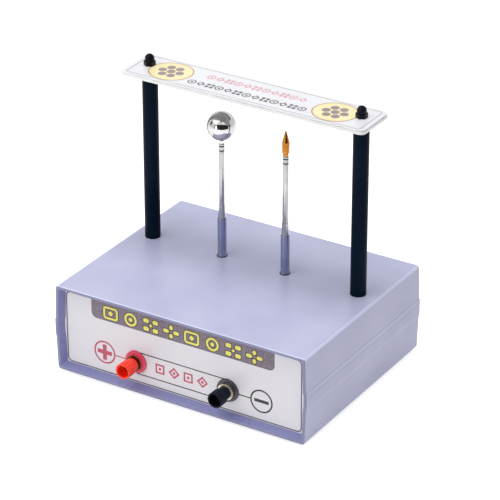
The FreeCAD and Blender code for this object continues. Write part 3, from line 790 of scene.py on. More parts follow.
# ---------------------------------------------------------------- case
@dataclass
class Case:
    """Two moulded half shells: drafted sides, a belt, and a sloped mouth at each end.

    Heights are above the case's underside.
    """

    wall: float = 2.2 * MM
    side_draft: float = 0.8 * MM
    belt_step: float = 0.6 * MM
    belt_low: float = 27.0 * MM
    belt_high: float = 37.0 * MM
    belt_chamfer: float = 1.2 * MM
    belt_bevel: float = 3.5 * MM         # height of the slope under the belt
    edge_round: float = 2.2 * MM
    rim_depth: float = 5.0 * MM
    rim_slope: float = 2.4 * MM          # how far the mouth narrows over its depth
    mouth_round: float = 1.2 * MM
    rim_soft: float = 0.7 * MM           # bevel of a rim's outer edge
    lip_soft: float = 0.35 * MM          # bevel of its inner edge
    belt_soft: float = 0.28 * MM
    seam_groove: float = 0.22 * MM
    channel_start: float = 0.2 * MM      # behind the mouth
    channel_width: float = 2.2 * MM
    channel_bite: float = 1.4 * MM
    rib: float = 1.8 * MM
    boss_inset: Point = (13.0 * MM, 31.0 * MM)
    boss_radius: float = 4.6 * MM
    well_radius: float = 3.2 * MM
    screw_seat: float = 3.0 * MM         # from the parting down to the screw head's seat
    hole_radius: float = 1.55 * MM
    hole_depth: float = 11.0 * MM        # above the parting
    rod_clearance: float = 0.15 * MM
    mast_clearance: float = -0.1 * MM    # measured at the base tube's flange, which rests on the deck

    def __post_init__(self) -> None:
        """Take the case's outer sizes from its CAD nodes."""
        low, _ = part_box("lower_shell")
        deck_low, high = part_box("upper_shell")
        self.bottom: float = low.z
        self.top: float = high.z
        self.front: float = low.y
        self.back: float = high.y
        self.half: float = high.x - self.side_draft - self.belt_step
        self.parting: float = deck_low.z

    def stations(self) -> list[Point]:
        """Return the heights at which the sides bend, and how far they stand out there."""
        belt = self.side_draft + self.belt_step
        return [(0.0, 0.0), (self.belt_low - self.belt_bevel, self.side_draft), (self.belt_low, belt),
                (self.belt_high, belt), (self.belt_high + self.belt_chamfer, self.side_draft),
                (self.top - self.bottom, 0.0)]

    def inset(self, p: Vector) -> float:
        """Measure how far inside the case's outline a point lies.

        Args:
            p: the point, on a rim.

        Returns:
            Its distance from the outline.
        """
        height = p.z - self.bottom
        side = self.half
        stations = self.stations()
        for (low, start), (high, end) in zip(stations, stations[1:]):
            if low <= height <= high:
                side = self.half + start + (end - start) * (height - low) / (high - low)
        return min(side - abs(p.x), height, self.top - p.z)

    def solid_form(self) -> Workpiece:
        """Shape the case from the outside.

        Returns:
            The block, with the drafted sides and the belt.
        """
        block = Workpiece.block("case", (-self.half, self.front, self.bottom),
                                (self.half, self.back, self.top))
        spread = self.stations()[1:-1]
        for height, _ in spread:
            block.slice(self.bottom + height)
        for height, step in spread:
            for side in (-1, 1):
                block.pick(Element.POINT,
                           lambda p: abs(p.z - self.bottom - height) < NEAR and p.x * side > 0)
                bpy.ops.transform.translate(value=(side * step, 0, 0))
        return block

    def open_end(self, block: Workpiece, end: int) -> None:
        """Sink the mouth, the panel's channel and the rib behind it into one end.

        Args:
            block: the case's solid form.
            end: -1 at the front and +1 behind.
        """
        middle = (self.bottom + self.top) / 2
        half_height = (self.top - self.bottom) / 2
        plane = self.front if end < 0 else self.back
        opening = self.wall + self.rim_slope
        block.pick(Element.FACE, lambda centre, normal: abs(centre.y - plane) < NEAR)
        bpy.ops.mesh.dissolve_faces()
        bpy.ops.mesh.inset(thickness=self.wall, depth=0)
        bpy.ops.mesh.inset(thickness=self.rim_slope, depth=-self.rim_depth)
        for run, inset in ((self.channel_start, opening - self.channel_bite), (self.channel_width, opening),
                           (self.rib, self.wall)):
            for step in (run, 0):
                bpy.ops.mesh.extrude_region_move(TRANSFORM_OT_translate={"value": (0, -end * step, 0)})
            wide = (self.half - inset) / (self.half - opening)
            tall = (half_height - inset) / (half_height - opening)
            bpy.ops.transform.resize(value=(wide, 1, tall), center_override=(0, 0, middle))
            opening = inset
        bpy.ops.mesh.delete(type="ONLY_FACE")

    def round_edges(self, block: Workpiece) -> None:
        """Round the long edges, the mouths' corners and the edges of both rims.

        Args:
            block: the case's closed form.
        """
        def runs_deep(a: Vector, b: Vector) -> bool:
            """Tell whether an edge runs from the front to the back."""
            level = abs(a.x - b.x) < NEAR and abs(a.z - b.z) < NEAR
            return level and abs(a.y - b.y) > (self.back - self.front) / 2

        def near_ends(p: Vector) -> float:
            """Return a point's distance from the underside or the deck, whichever is nearer."""
            return min(abs(p.z - self.bottom), abs(p.z - self.top))

        def in_mouth_corner(a: Vector, b: Vector) -> bool:
            """Tell whether an edge is a corner of a mouth's slope.

            Args:
                a: one end of the edge.
                b: its other end.

            Returns:
                True if it is.
            """
            near = all(near_ends(p) < self.wall + self.rim_slope + NEAR for p in (a, b))
            deep = abs(abs(a.y - b.y) - self.rim_depth) < NEAR
            return near and deep and abs(a.x - b.x) < 2 * self.rim_slope

        def on_rim(p: Vector, end: float) -> bool:
            """Tell whether a point lies in the plane of one end's rim."""
            return abs(p.y - end) < NEAR

        block.round_off(self.edge_round, 6, lambda a, b: (
            runs_deep(a, b) and abs(abs(a.x) - self.half) < NEAR and near_ends(a) < NEAR))
        block.round_off(self.mouth_round, 4, in_mouth_corner)
        outer = self.edge_round * (1 - cos(radians(45))) + NEAR     # how far in a corner's outer edge lies
        inner = 0.9 * self.wall                                     # the rim's inner edge lies further in
        for end in (self.front, self.back):
            block.round_off(self.lip_soft, 2, lambda a, b: all(
                on_rim(p, end) and self.inset(p) > inner for p in (a, b)))
            block.round_off(self.rim_soft, 3, lambda a, b: all(
                on_rim(p, end) and self.inset(p) < outer for p in (a, b)))
        belt = self.half + self.side_draft
        block.round_off(self.belt_soft, 2, lambda a, b: runs_deep(a, b) and abs(a.x) > belt - NEAR)

    def half_shell(self, block: Workpiece, name: str, keep_upper: bool) -> Workpiece:
        """Cut one half shell from the case, with a groove along its outer parting edges.

        Args:
            block: the whole case.
            name: name of the half.
            keep_upper: True for the half with the deck.

        Returns:
            The half shell, closed along the parting.
        """
        half = block.copy(name)
        half.slice(self.parting, use_fill=True, clear_inner=keep_upper, clear_outer=not keep_upper)
        belt = self.half + self.side_draft + self.belt_step
        half.round_off(self.seam_groove, 2, lambda a, b: all(
            abs(p.z - self.parting) < NEAR and abs(p.x) > belt - self.rim_soft for p in (a, b)))
        half.close_up()
        return half

    def boss_places(self) -> list[Point]:
        """Return the middle of each screw boss."""
        return corners(0, (self.front + self.back) / 2, self.half - self.boss_inset[0],
                       (self.back - self.front) / 2 - self.boss_inset[1])

    def fit_bosses(self, shell: Workpiece, low: float, high: float, cuts: Sequence[Place]) -> None:
        """Stand a boss at each screw, and cut the screw's way through it.

        Args:
            shell: a half shell.
            low: lower end of the bosses.
            high: upper end of the bosses.
            cuts: radius, lower and upper end of each cut.
        """
        for x, y in self.boss_places():
            boss = Workpiece.prism("boss", self.boss_radius, low, high, HOLE_STEPS)
            boss.move((x, y, 0))
            shell.combine(boss, Action.JOIN)
            for radius, start, end in cuts:
                cut = Workpiece.prism("cut", radius, start, end, HOLE_STEPS)
                cut.move((x, y, 0))
                shell.combine(cut, Action.CUT)

    def drill_deck(self, shell: Workpiece) -> None:
        """Drill the deck for the tie rods and the masts.

        Args:
            shell: the upper half shell.
        """
        for node, clearance in (("left_tie_rod", self.rod_clearance), ("right_tie_rod", self.rod_clearance),
                                ("ball_mast_base", self.mast_clearance),
                                ("needle_mast_base", self.mast_clearance)):
            shell.drill(node, clearance, self.top - 2 * self.wall, self.top + self.wall)

    def build(self) -> None:
        """Model and dress both half shells, then their feet and screws."""
        block = self.solid_form()
        for end in (-1, 1):
            self.open_end(block, end)
        block.take_up()
        bpy.ops.object.mode_set(mode="EDIT")
        bpy.ops.mesh.select_mode(type=Element.EDGE.value)
        bpy.ops.mesh.select_all(action="DESELECT")
        bpy.ops.mesh.select_non_manifold()
        bpy.ops.mesh.bridge_edge_loops()
        self.round_edges(block)
        block.close_up()
        seat = self.parting - self.screw_seat
        for name, upper in (("case_lower_half", False), ("case_upper_half", True)):
            shell = self.half_shell(block, name, upper)
            if upper:
                self.fit_bosses(shell, self.parting, self.top - self.wall / 2,
                                [(self.hole_radius, self.parting - PAST, self.parting + self.hole_depth)])
                self.drill_deck(shell)
            else:
                self.fit_bosses(shell, self.bottom + self.wall / 2, self.parting,
                                [(self.well_radius, self.bottom - PAST, seat),
                                 (self.hole_radius, seat - PAST, self.parting + PAST)])
            shell.shade(35)
            shell.finish(CASE_ABS, "case_plastic", "root", "upper_shell" if upper else "lower_shell")
            self.tint(shell)
        bpy.data.objects.remove(block.solid)
        Feet().build()
        CaseScrews().build(self.boss_places())

    def tint(self, shell: Workpiece) -> None:
        """Paint shade into the mouths and onto the rims' flats, and a painted highlight along the deck's
        and the belt's edges.

        Args:
            shell: a finished half shell.
        """
        def in_mouth(centre: Vector, normal: Vector) -> bool:
            """Tell whether a face belongs to a rim or to the slope behind it."""
            return min(centre.y - self.front, self.back - centre.y) < self.rim_depth and abs(normal.y) > 0.3

        def on_flat(centre: Vector, normal: Vector) -> bool:
            """Tell whether a face belongs to the flat of a rim."""
            return in_mouth(centre, normal) and abs(normal.y) > 0.95

        def on_edge(centre: Vector, normal: Vector) -> bool:
            """Tell whether a face belongs to the rounding of the deck's front edge."""
            near = centre.y < self.front + self.rim_soft and centre.z > self.top - self.rim_soft
            return near and normal.y < -0.1 and normal.z > 0.5

        def on_long_edge(centre: Vector, normal: Vector) -> bool:
            """Tell whether a face belongs to the deck's long roundings or to the belt's upper edge.

            Args:
                centre: the face's centre.
                normal: its normal.

            Returns:
                True if it does.
            """
            outwards = abs(normal.y) <= 0.1 and normal.x * centre.x >= 0
            at_deck = centre.z > self.top - self.edge_round and abs(centre.x) > self.half - self.edge_round
            at_belt = abs(centre.z - self.bottom - self.belt_high) < self.belt_soft
            return outwards and ((at_deck and 0.2 < normal.z < 0.95) or (at_belt and 0.05 < normal.z < 0.4))

        # painted shade in the mouths and on the rims' flats, painted highlights on the deck's and the
        # belt's edges
        for finish, wanted in ((MOUTH_SHADE_ABS, in_mouth), (RIM_SHADE_ABS, on_flat), (EDGE_HIGHLIGHT_ABS, on_edge),
                               (EDGE_HIGHLIGHT_ABS, on_long_edge)):
            shell.tint(finish, wanted)


@dataclass
class Feet:
    """Four moulded rubber feet."""

    radius: float = 5.0 * MM
    edge: float = 0.9 * MM               # round of the edge that stands on the table
    recess_mouth: float = 2.6 * MM
    recess_floor: float = 2.2 * MM
    recess_depth: float = 0.7 * MM

    def build(self) -> None:
        """Turn one foot with a rounded edge and a recess, and set four of it under the case."""
        low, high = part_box("rubber_feet")
        height = high.z - low.z
        foot = Workpiece.turned("foot", [
            (0, height), (self.radius, height),
            *arc((self.radius - self.edge, self.edge), self.edge, 0, -90), (self.recess_mouth, 0),
            (self.recess_floor, self.recess_depth), (0, self.recess_depth)], steps=40)
        places = corners(*axis_of("rubber_feet"), (high.x - low.x) / 2 - self.radius,
                         (high.y - low.y) / 2 - self.radius)
        feet = foot.repeat("soft_feet", [(x, y, low.z) for x, y in places])
        feet.shade(30)
        feet.finish(FOOT_RUBBER, "foot_rubber", "root", "rubber_feet")


@dataclass
class CaseScrews:
    """Pan-head screws that hold the half shells together. Heights are above the head's top."""

    head_radius: float = 2.8 * MM
    head_height: float = 2.0 * MM
    head_round: float = 0.7 * MM
    shank_radius: float = 1.45 * MM
    point_length: float = 2.0 * MM
    point_radius: float = 0.2 * MM
    slot_length: float = 3.2 * MM
    slot_width: float = 0.75 * MM
    slot_depth: float = 1.1 * MM

    def build(self, places: Sequence[Point]) -> None:
        """Turn one screw, cut its cross recess and set a copy at each place.

        Args:
            places: the screws' axes.
        """
        low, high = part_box("case_screws")
        length = high.z - low.z
        screw = Workpiece.turned("screw", [
            (0, 0), *arc((self.head_radius - self.head_round, self.head_round), self.head_round, -90, 0, 4),
            (self.head_radius, self.head_height), (self.shank_radius, self.head_height),
            (self.shank_radius, length - self.point_length), (self.point_radius, length), (0, length)],
            steps=32)
        long, short = self.slot_length / 2, self.slot_width / 2
        for x, y in ((long, short), (short, long)):
            slot = Workpiece.block("slot", (-x, -y, -PAST), (x, y, self.slot_depth))
            screw.combine(slot, Action.CUT)
        screw.close_up()
        screws = screw.repeat("cross_head_screws", [(x, y, low.z) for x, y in places])
        screws.shade(30)
        screws.finish(ZINC_STEEL, "plated_steel", "root", "case_screws")


# ---------------------------------------------------------------- printing
class Ornament(Enum):
    """Plain ornaments of the banner and of the plate's rows."""

    FRAME = "frame"
    RING = "ring"
    BLOCKS = "blocks"
    CROSS = "cross"
    LOZENGE = "lozenge"


@dataclass
class Print:
    """Ink of one colour, drawn flat on XY and then laid on a surface."""

    name: str
    finish: Finish
    slot: str
    raise_by: float = 0.03 * MM          # height of the ink's face over the surface
    shapes: list[Workpiece] = field(default_factory=list)

    def bar(self, x: float, y: float, width: float, height: float, corner: float = 0.0, turn: float = 0.0,
            square_top: bool = False) -> None:
        """Draw a bar.

        Args:
            x: its middle.
            y: its middle.
            width: its size along X.
            height: its size along Y.
            corner: radius of its corners.
            turn: its turn in degrees.
            square_top: True to leave its two upper corners sharp.
        """
        stand_clear()
        bpy.ops.mesh.primitive_plane_add(size=1)
        shape = Workpiece("bar")
        shape.solid.scale = (width, height, 1)
        shape.set_place()
        if corner:
            shape.pick(Element.POINT, lambda p: p.y < 0 or not square_top)
            bpy.ops.mesh.bevel(offset=corner, segments=6, affect="VERTICES")
        shape.take_up()
        shape.solid.rotation_euler = (0, 0, radians(turn))
        self.keep(shape, x, y)

    def disc(self, x: float, y: float, radius: float, sides: int = 48, flat: float = 1.0) -> None:
        """Draw a full disc.

        Args:
            x: its middle.
            y: its middle.
            radius: its radius along X.
            sides: number of straight steps round it.
            flat: its radius along Y, as a share of the one along X.
        """
        stand_clear()
        bpy.ops.mesh.primitive_circle_add(vertices=sides, radius=radius, fill_type="NGON")
        shape = Workpiece("disc")
        shape.solid.scale = (1, flat, 1)
        self.keep(shape, x, y)

    def ring(self, x: float, y: float, radius: float, width: float, sides: int = 48,
             flat: float = 1.0) -> None:
        """Draw a ring, inwards from its outer radius.

        Args:
            x: its middle.
            y: its middle.
            radius: its outer radius along X.
            width: width of its line.
            sides: number of straight steps round it.
            flat: its radius along Y, as a share of the one along X.
        """
        self.disc(x, y, radius, sides, flat)
        self.hollow(width)

    def border(self, x: float, y: float, width: float, height: float, corner: float, line: float) -> None:
        """Draw a rounded frame, inwards from its outer size."""
        self.bar(x, y, width, height, corner)
        self.hollow(line)

    def lozenge(self, x: float, y: float, side: float, line: float, turn: float = 45.0) -> None:
        """Draw a square line with sharp corners, turned about its middle."""
        self.bar(x, y, side, side, turn=turn)
        self.hollow(line)

    def hollow(self, line: float) -> None:
        """Leave only a line along the edge of the last figure.

        Args:
            line: width of the line.
        """
        self.shapes[-1].pick(Element.FACE, lambda centre, normal: True)
        bpy.ops.mesh.inset(thickness=line, depth=0)
        bpy.ops.mesh.delete(type="FACE")

    def keep(self, shape: Workpiece, x: float, y: float) -> None:
        """Put a figure at its place in the drawing.

        Args:
            shape: the figure, drawn about the origin.
            x: its middle.
            y: its middle.
        """
        shape.set_place()
        shape.move((x, y, 0))
        self.shapes.append(shape)

    def lay(self, place: Sequence[float], upright: bool) -> None:
        """Join the figures, give the ink its thickness and lay it on a surface.

        Args:
            place: where the drawing's origin comes to lie, on the surface.
            upright: True on the front panel, False on the plate.
        """
        ink = self.shapes[0]
        for shape in self.shapes[1:]:
            ink.add(shape)
        ink.solid.name = self.name
        ink.solid.data.name = self.name
        if ink.pick(Element.FACE, lambda centre, normal: normal.z < 0):
            bpy.ops.mesh.flip_normals()
        ink.take_up()
        thick = ink.solid.modifiers.new("thick", "SOLIDIFY")
        thick.thickness = self.raise_by
        thick.offset = 1.0
        bpy.ops.object.modifier_apply(modifier=thick.name)
        low = min(point.co.z for point in ink.solid.data.vertices)
        ink.move((0, 0, -low))
        if upright:
            ink.face_front()
        ink.move(place)
        ink.close_up()
        ink.finish(self.finish, self.slot, "root")


@dataclass
class FrontPrint:
    """What is printed on the front panel. Heights are above the case's underside."""

    border_half: float = 90.3 * MM
    border_low: float = 5.2 * MM
    border_high: float = 4.6 * MM        # from the deck down to the border
    border_line: float = 0.9 * MM
    border_corner: float = 3.6 * MM
    rule: float = 0.8 * MM               # thickness of the fine lines
    rule_heights: Point = (27.6 * MM, 11.6 * MM)
    rule_half: float = 35.3 * MM
    banner_half: float = 70.0 * MM
    banner_low: float = 44.0 * MM
    banner_corner: float = 4.0 * MM
    banner_edge: float = 0.5 * MM
    tile_pitch: float = 15.7 * MM
    tile_height: float = 50.2 * MM
    tiles: int = 8
    tile_edge: float = 0.55 * MM         # how far the dark ink stands out round the yellow
    frame_size: Point = (11.4 * MM, 9.2 * MM)
    frame_corner: float = 2.2 * MM
    frame_line: float = 1.5 * MM
    frame_gem: Point = (3.0 * MM, 0.3 * MM)      # side and corner of the lozenge in it
    ring_radius: float = 4.8 * MM
    ring_line: float = 1.6 * MM
    ring_dot: float = 1.5 * MM
    block_size: Point = (4.2 * MM, 3.0 * MM)
    block_offset: Point = (3.6 * MM, 3.0 * MM)
    block_corner: float = 0.9 * MM
    block_gem: Point = (1.9 * MM, 0.2 * MM)
    arm_x: float = 3.9 * MM
    arm_x_size: Point = (4.4 * MM, 2.6 * MM)
    arm_z: float = 3.1 * MM
    arm_z_size: Point = (2.6 * MM, 3.2 * MM)
    arm_corner: float = 1.2 * MM
    pole_x: float = 60.3 * MM
    plus_height: float = 20.0 * MM
    plus_line: float = 1.2 * MM
    plus_size: float = 11.4 * MM
    plus_width: float = 3.0 * MM
    minus_height: float = 19.4 * MM
    minus_line: float = 1.15 * MM
    minus_size: Point = (10.8 * MM, 2.3 * MM)
    pole_radius: float = 8.4 * MM
    collar_edge: float = 43.3 * MM       # where the line from a mark ends, at the post's collar
    motif_pitch: float = 10.9 * MM
    motif_shift: float = -0.6 * MM
    motif_size: float = 7.0 * MM
    motif_line: float = 1.2 * MM
    motif_dot: float = 1.8 * MM
    lozenge_share: float = 0.86          # side of a turned motif over that of a straight one
    edge_ink: float = 0.02 * MM          # heights of the inks that lie over each other
    banner_ink: float = 0.03 * MM
    shadow_ink: float = 0.045 * MM
    bright_ink: float = 0.06 * MM
    slot: str = "panel_print"

    def __post_init__(self) -> None:
        """Find the label's face and the case's underside."""
        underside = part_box("lower_shell")[0].z
        self.place: Place = (0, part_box("panel_label")[0].y, underside)
        self.border_top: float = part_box("upper_shell")[1].z - underside - self.border_high
        self.run: float = self.pole_x - self.pole_radius - self.collar_edge

    def tile(self, ink: Print, kind: Ornament, x: float, grow: float) -> None:
        """Draw one ornament of the banner.

        Args:
            ink: the colour that it is drawn in.
            kind: which ornament.
            x: its middle.
            grow: how far it is widened on every side.
        """
        z = self.tile_height
        both = 2 * grow

        def bar(dx: float, dz: float, size: Point, corner: float, turn: float = 0.0) -> None:
            """Draw a widened bar at a distance from the ornament's middle."""
            ink.bar(x + dx, z + dz, size[0] + both, size[1] + both, corner, turn)

        def gem(side: float, corner: float) -> None:
            """Draw a widened lozenge in the ornament's middle."""
            bar(0, 0, (side, side), corner, 45)

        if kind is Ornament.FRAME:
            ink.border(x, z, self.frame_size[0] + both, self.frame_size[1] + both, self.frame_corner + grow,
                       self.frame_line + both)
            gem(*self.frame_gem)
        elif kind is Ornament.BLOCKS:
            for dx, dz in corners(0, 0, *self.block_offset):
                bar(dx, dz, self.block_size, self.block_corner)
            gem(*self.block_gem)
        elif kind is Ornament.RING:
            ink.ring(x, z, self.ring_radius + grow, self.ring_line + both)
            ink.disc(x, z, self.ring_dot + grow, 24)
        elif kind is Ornament.CROSS:
            for way in (-1, 1):
                bar(way * self.arm_x, 0, self.arm_x_size, self.arm_corner)
                bar(0, way * self.arm_z, self.arm_z_size, self.arm_corner)

    def draw_lines(self) -> None:
        """Draw the frame and the two rules."""
        border = Print("label_border", INK_GREY, self.slot)
        border.border(0, (self.border_low + self.border_top) / 2, 2 * self.border_half,
                      self.border_top - self.border_low, self.border_corner, self.border_line)
        border.lay(self.place, True)
        rules = Print("label_rules", INK_BLACK, self.slot)
        for height in self.rule_heights:
            rules.bar(0, height, 2 * self.rule_half, self.rule)
        rules.lay(self.place, True)

    def draw_banner(self) -> None:
        """Draw the banner that hangs from the frame, with a grey edge and round lower corners."""
        height = self.border_top - self.border_line / 2 - self.banner_low
        for name, finish, raise_by, inset in (
                ("label_banner_edge", INK_GREY, self.edge_ink, 0.0),
                ("label_banner", INK_MAUVE, self.banner_ink, self.banner_edge)):
            banner = Print(name, finish, self.slot, raise_by)
            banner.bar(0, self.banner_low + height / 2, 2 * (self.banner_half - inset), height - 2 * inset,
                       self.banner_corner - inset, square_top=True)
            banner.lay(self.place, True)

    def draw_ornaments(self) -> None:
        """Draw the banner's row of yellow ornaments on their dark edges."""
        order = (Ornament.FRAME, Ornament.RING, Ornament.BLOCKS, Ornament.CROSS)
        for name, finish, raise_by, grow in (
                ("label_ornament_edges", INK_OLIVE, self.shadow_ink, self.tile_edge),
                ("label_ornaments", INK_YELLOW, self.bright_ink, 0.0)):
            ink = Print(name, finish, self.slot, raise_by)
            for k in range(self.tiles):
                self.tile(ink, order[k % len(order)], (k - (self.tiles - 1) / 2) * self.tile_pitch, grow)
            ink.lay(self.place, True)

    def draw_plus(self) -> None:
        """Draw the plus in its ring, the line to its post and the four motifs between the posts."""
        plus = Print("label_plus", INK_CRIMSON, self.slot)
        plus.ring(-self.pole_x, self.plus_height, self.pole_radius, self.plus_line)
        plus.bar(-self.pole_x, self.plus_height, self.plus_size, self.plus_width)
        arm = (self.plus_size - self.plus_width) / 2
        reach = (self.plus_width + arm) / 2
        for z in (self.plus_height - reach, self.plus_height + reach):
            plus.bar(-self.pole_x, z, self.plus_width, arm)
        plus.bar(-self.collar_edge - self.run / 2, self.plus_height, self.run, self.rule)
        for k, turn in enumerate((0, 45, 0, 45)):
            x = (k - 1.5) * self.motif_pitch + self.motif_shift
            side = self.motif_size * (self.lozenge_share if turn else 1)
            plus.lozenge(x, self.plus_height, side, self.motif_line, turn)
            plus.bar(x, self.plus_height, self.motif_dot, self.motif_dot, turn=turn)
        plus.lay(self.place, True)

    def draw_minus(self) -> None:
        """Draw the minus in its ring and the line to its post."""
        minus = Print("label_minus", INK_BLACK, self.slot)
        minus.ring(self.pole_x, self.minus_height, self.pole_radius, self.minus_line)
        minus.bar(self.pole_x, self.minus_height, *self.minus_size)
        minus.bar(self.collar_edge + self.run / 2, self.minus_height, self.run, self.rule)
        minus.lay(self.place, True)

    def build(self) -> None:
        """Draw every ink and lay it on the label."""
        self.draw_lines()
        self.draw_banner()
        self.draw_ornaments()
        self.draw_plus()
        self.draw_minus()


@dataclass
class Plate:
    """Printed plate on the columns. Places on it are from its middle."""

    corner: float = 4.0 * MM
    soft: float = 0.25 * MM
    rod_clearance: float = 0.15 * MM
    seam_drop: float = 0.45 * MM         # from the top to the seam in the plate's edge
    seam_height: float = 0.4 * MM
    seam_depth: float = 0.35 * MM
    keep_out: float = 5.0 * MM           # round the rods, where the seam isn't cut
    line_inset: float = 3.3 * MM         # from the plate's two ends
    line_rear: float = 2.3 * MM
    line_front: float = 1.4 * MM
    line: float = 0.65 * MM
    line_corner: float = 1.8 * MM
    disc_x: float = 61.9 * MM
    disc_y: float = -0.8 * MM
    disc_radius: float = 15.6 * MM
    disc_rim: float = 0.9 * MM
    disc_flat: float = 0.92              # depth of a disc over its width
    petals: int = 6
    petal: float = 2.9 * MM
    petal_offset: float = 6.6 * MM
    mark_pitch: float = 6.9 * MM
    rear_y: float = 4.9 * MM
    rear_x: float = 0.4 * MM
    rear_marks: int = 11
    front_y: float = -7.6 * MM
    front_x: float = 0.0
    front_marks: int = 13
    ring: float = 3.1 * MM
    ring_line: float = 0.95 * MM
    ring_dot: float = 1.0 * MM
    lozenge: float = 4.4 * MM
    lozenge_line: float = 1.1 * MM
    block: float = 2.5 * MM
    block_offset: float = 1.7 * MM
    block_corner: float = 0.3 * MM
    high_ink: float = 0.045 * MM         # height of the inks that lie on the straw
    slot: str = "plate_print"

    def __post_init__(self) -> None:
        """Find the plate and its film."""
        self.low, self.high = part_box("top_plate")
        self.place: Place = (0, axis_of("top_plate")[1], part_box("plate_film")[1].z)

    def build_sheet(self) -> None:
        """Model the metal sheet, with round corners, soft edges and holes for the rods."""
        sheet = Workpiece.block("plate_sheet", self.low, self.high)
        sheet.round_off(self.corner, 8, lambda a, b: abs(a.z - b.z) > NEAR)
        for node in ("left_tie_rod", "right_tie_rod"):
            sheet.drill(node, self.rod_clearance, self.low.z - PAST, self.high.z + PAST)
        sheet.soften(self.soft)
        self.cut_seam(sheet)
        sheet.shade(50)
        sheet.finish(PLATE_ALUMINIUM, "plate_metal", "root", "top_plate")
        # painted shade on the plate's underside
        sheet.tint(UNDERSIDE_SHADE_ALUMINIUM, lambda centre, normal: normal.z < -0.9)

    def cut_seam(self, sheet: Workpiece) -> None:
        """Sink the fine seam that runs round the plate's edge, just under its top.

        Args:
            sheet: the plate's sheet.
        """
        top = self.high.z - self.seam_drop
        low = top - self.seam_height
        for height in (top, low):
            sheet.slice(height)
        axes = [Vector(axis_of(side + "_tie_rod")) for side in ("left", "right")]
        sheet.pick(Element.FACE, lambda centre, normal: (
            low < centre.z < top and abs(normal.z) < 0.1
            and all((centre.xy - axis).length > self.keep_out for axis in axes)))
        bpy.ops.mesh.extrude_region_shrink_fatten(TRANSFORM_OT_shrink_fatten={"value": -self.seam_depth})

    def draw_line(self) -> None:
        """Draw the fine line along the plate's edge."""
        width = self.high.x - self.low.x
        depth = self.high.y - self.low.y
        line = Print("plate_line", INK_LINE, self.slot)
        line.border(0, (self.line_front - self.line_rear) / 2, width - 2 * self.line_inset,
                    depth - self.line_front - self.line_rear, self.line_corner, self.line)
        line.lay(self.place, False)

    def draw_discs(self) -> None:
        """Draw the two rimmed discs, each with a rosette of dots round a middle one."""
        straw = Print("plate_discs", INK_STRAW, self.slot)
        rust = Print("plate_disc_rims", INK_RUST, self.slot, self.high_ink)
        taupe = Print("plate_motifs", INK_TAUPE, self.slot, self.high_ink)
        y = self.disc_y
        for x in (-self.disc_x, self.disc_x):
            straw.disc(x, y, self.disc_radius - self.disc_rim / 2, 72, self.disc_flat)
            rust.ring(x, y, self.disc_radius, self.disc_rim, 72, self.disc_flat)
            for k in range(self.petals):
                angle = 2 * pi * k / self.petals
                taupe.disc(x + self.petal_offset * cos(angle), y + self.petal_offset * sin(angle),
                           self.petal, 32)
            taupe.disc(x, y, self.petal, 32)
        for ink in (straw, rust, taupe):
            ink.lay(self.place, False)

    def draw_row(self, ink: Print, x: float, y: float, count: int) -> None:
        """Draw one row of small ornaments.

        Args:
            ink: the colour that it is drawn in.
            x: the row's middle.
            y: the row's middle.
            count: how many ornaments it has.
        """
        for k in range(count):
            place = (x + (k - (count - 1) / 2) * self.mark_pitch, y)
            self.mark(ink, *place, (Ornament.RING, Ornament.LOZENGE, Ornament.BLOCKS)[k % 3])
        ink.lay(self.place, False)

    def mark(self, ink: Print, x: float, y: float, kind: Ornament) -> None:
        """Draw one small ornament of a row.

        Args:
            ink: the colour that it is drawn in.
            x: its middle.
            y: its middle.
            kind: which ornament.
        """
        if kind is Ornament.RING:
            ink.ring(x, y, self.ring, self.ring_line, 24)
            ink.disc(x, y, self.ring_dot, 16)
        elif kind is Ornament.LOZENGE:
            ink.lozenge(x, y, self.lozenge, self.lozenge_line)
        elif kind is Ornament.BLOCKS:
            for place in corners(x, y, self.block_offset, self.block_offset):
                ink.bar(*place, self.block, self.block, self.block_corner)

    def build(self) -> None:
        """Build the plate and its print."""
        self.build_sheet()
        self.draw_line()
        self.draw_discs()
        self.draw_row(Print("plate_row_rear", INK_ROSE, self.slot), self.rear_x, self.rear_y,
                      self.rear_marks)
        self.draw_row(Print("plate_row_front", INK_SLATE, self.slot), self.front_x, self.front_y,
                      self.front_marks)


@dataclass
class DomeNuts:
    """Two black dome nuts on the tie rods. Heights are above the plate's film."""

    flats: float = 7.0 * MM
    hex_height: float = 3.2 * MM
    dome_radius: float = 3.2 * MM
    dome_start: float = 1.0 * MM         # inside the hexagon
    chamfer: float = 0.6                 # height of the chamfered corners over what they lose

    def build(self) -> None:
        """Join a hexagon with chamfered corners to a round dome, and set one on each rod."""
        low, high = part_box("dome_nuts")
        spring = high.z - low.z - self.dome_radius
        flat = self.flats / 2
        corner = flat / cos(radians(30))
        bevel = (corner - flat) * self.chamfer
        nut = Workpiece.prism("dome_nut", corner, 0, self.hex_height, 6)
        trim = Workpiece.turned("trim", [
            (0, 0), (flat, 0), (corner, bevel), (corner, self.hex_height - bevel), (flat, self.hex_height),
            (0, self.hex_height)])
        nut.combine(trim, Action.KEEP)
        dome = Workpiece.turned("dome", [
            (0, self.dome_start), (self.dome_radius, self.dome_start), (self.dome_radius, spring),
            *arc((0, spring), self.dome_radius, 0, 90, 10)], steps=48)
        nut.combine(dome, Action.JOIN)
        nut.close_up()
        for side in ("left", "right"):
            one = nut.copy(side + "_dome_nut")
            one.move((*axis_of(side + "_tie_rod"), low.z))
            one.shade(40)
            one.finish(NYLON, "nylon", "root", "dome_nuts")
        bpy.data.objects.remove(nut.solid)


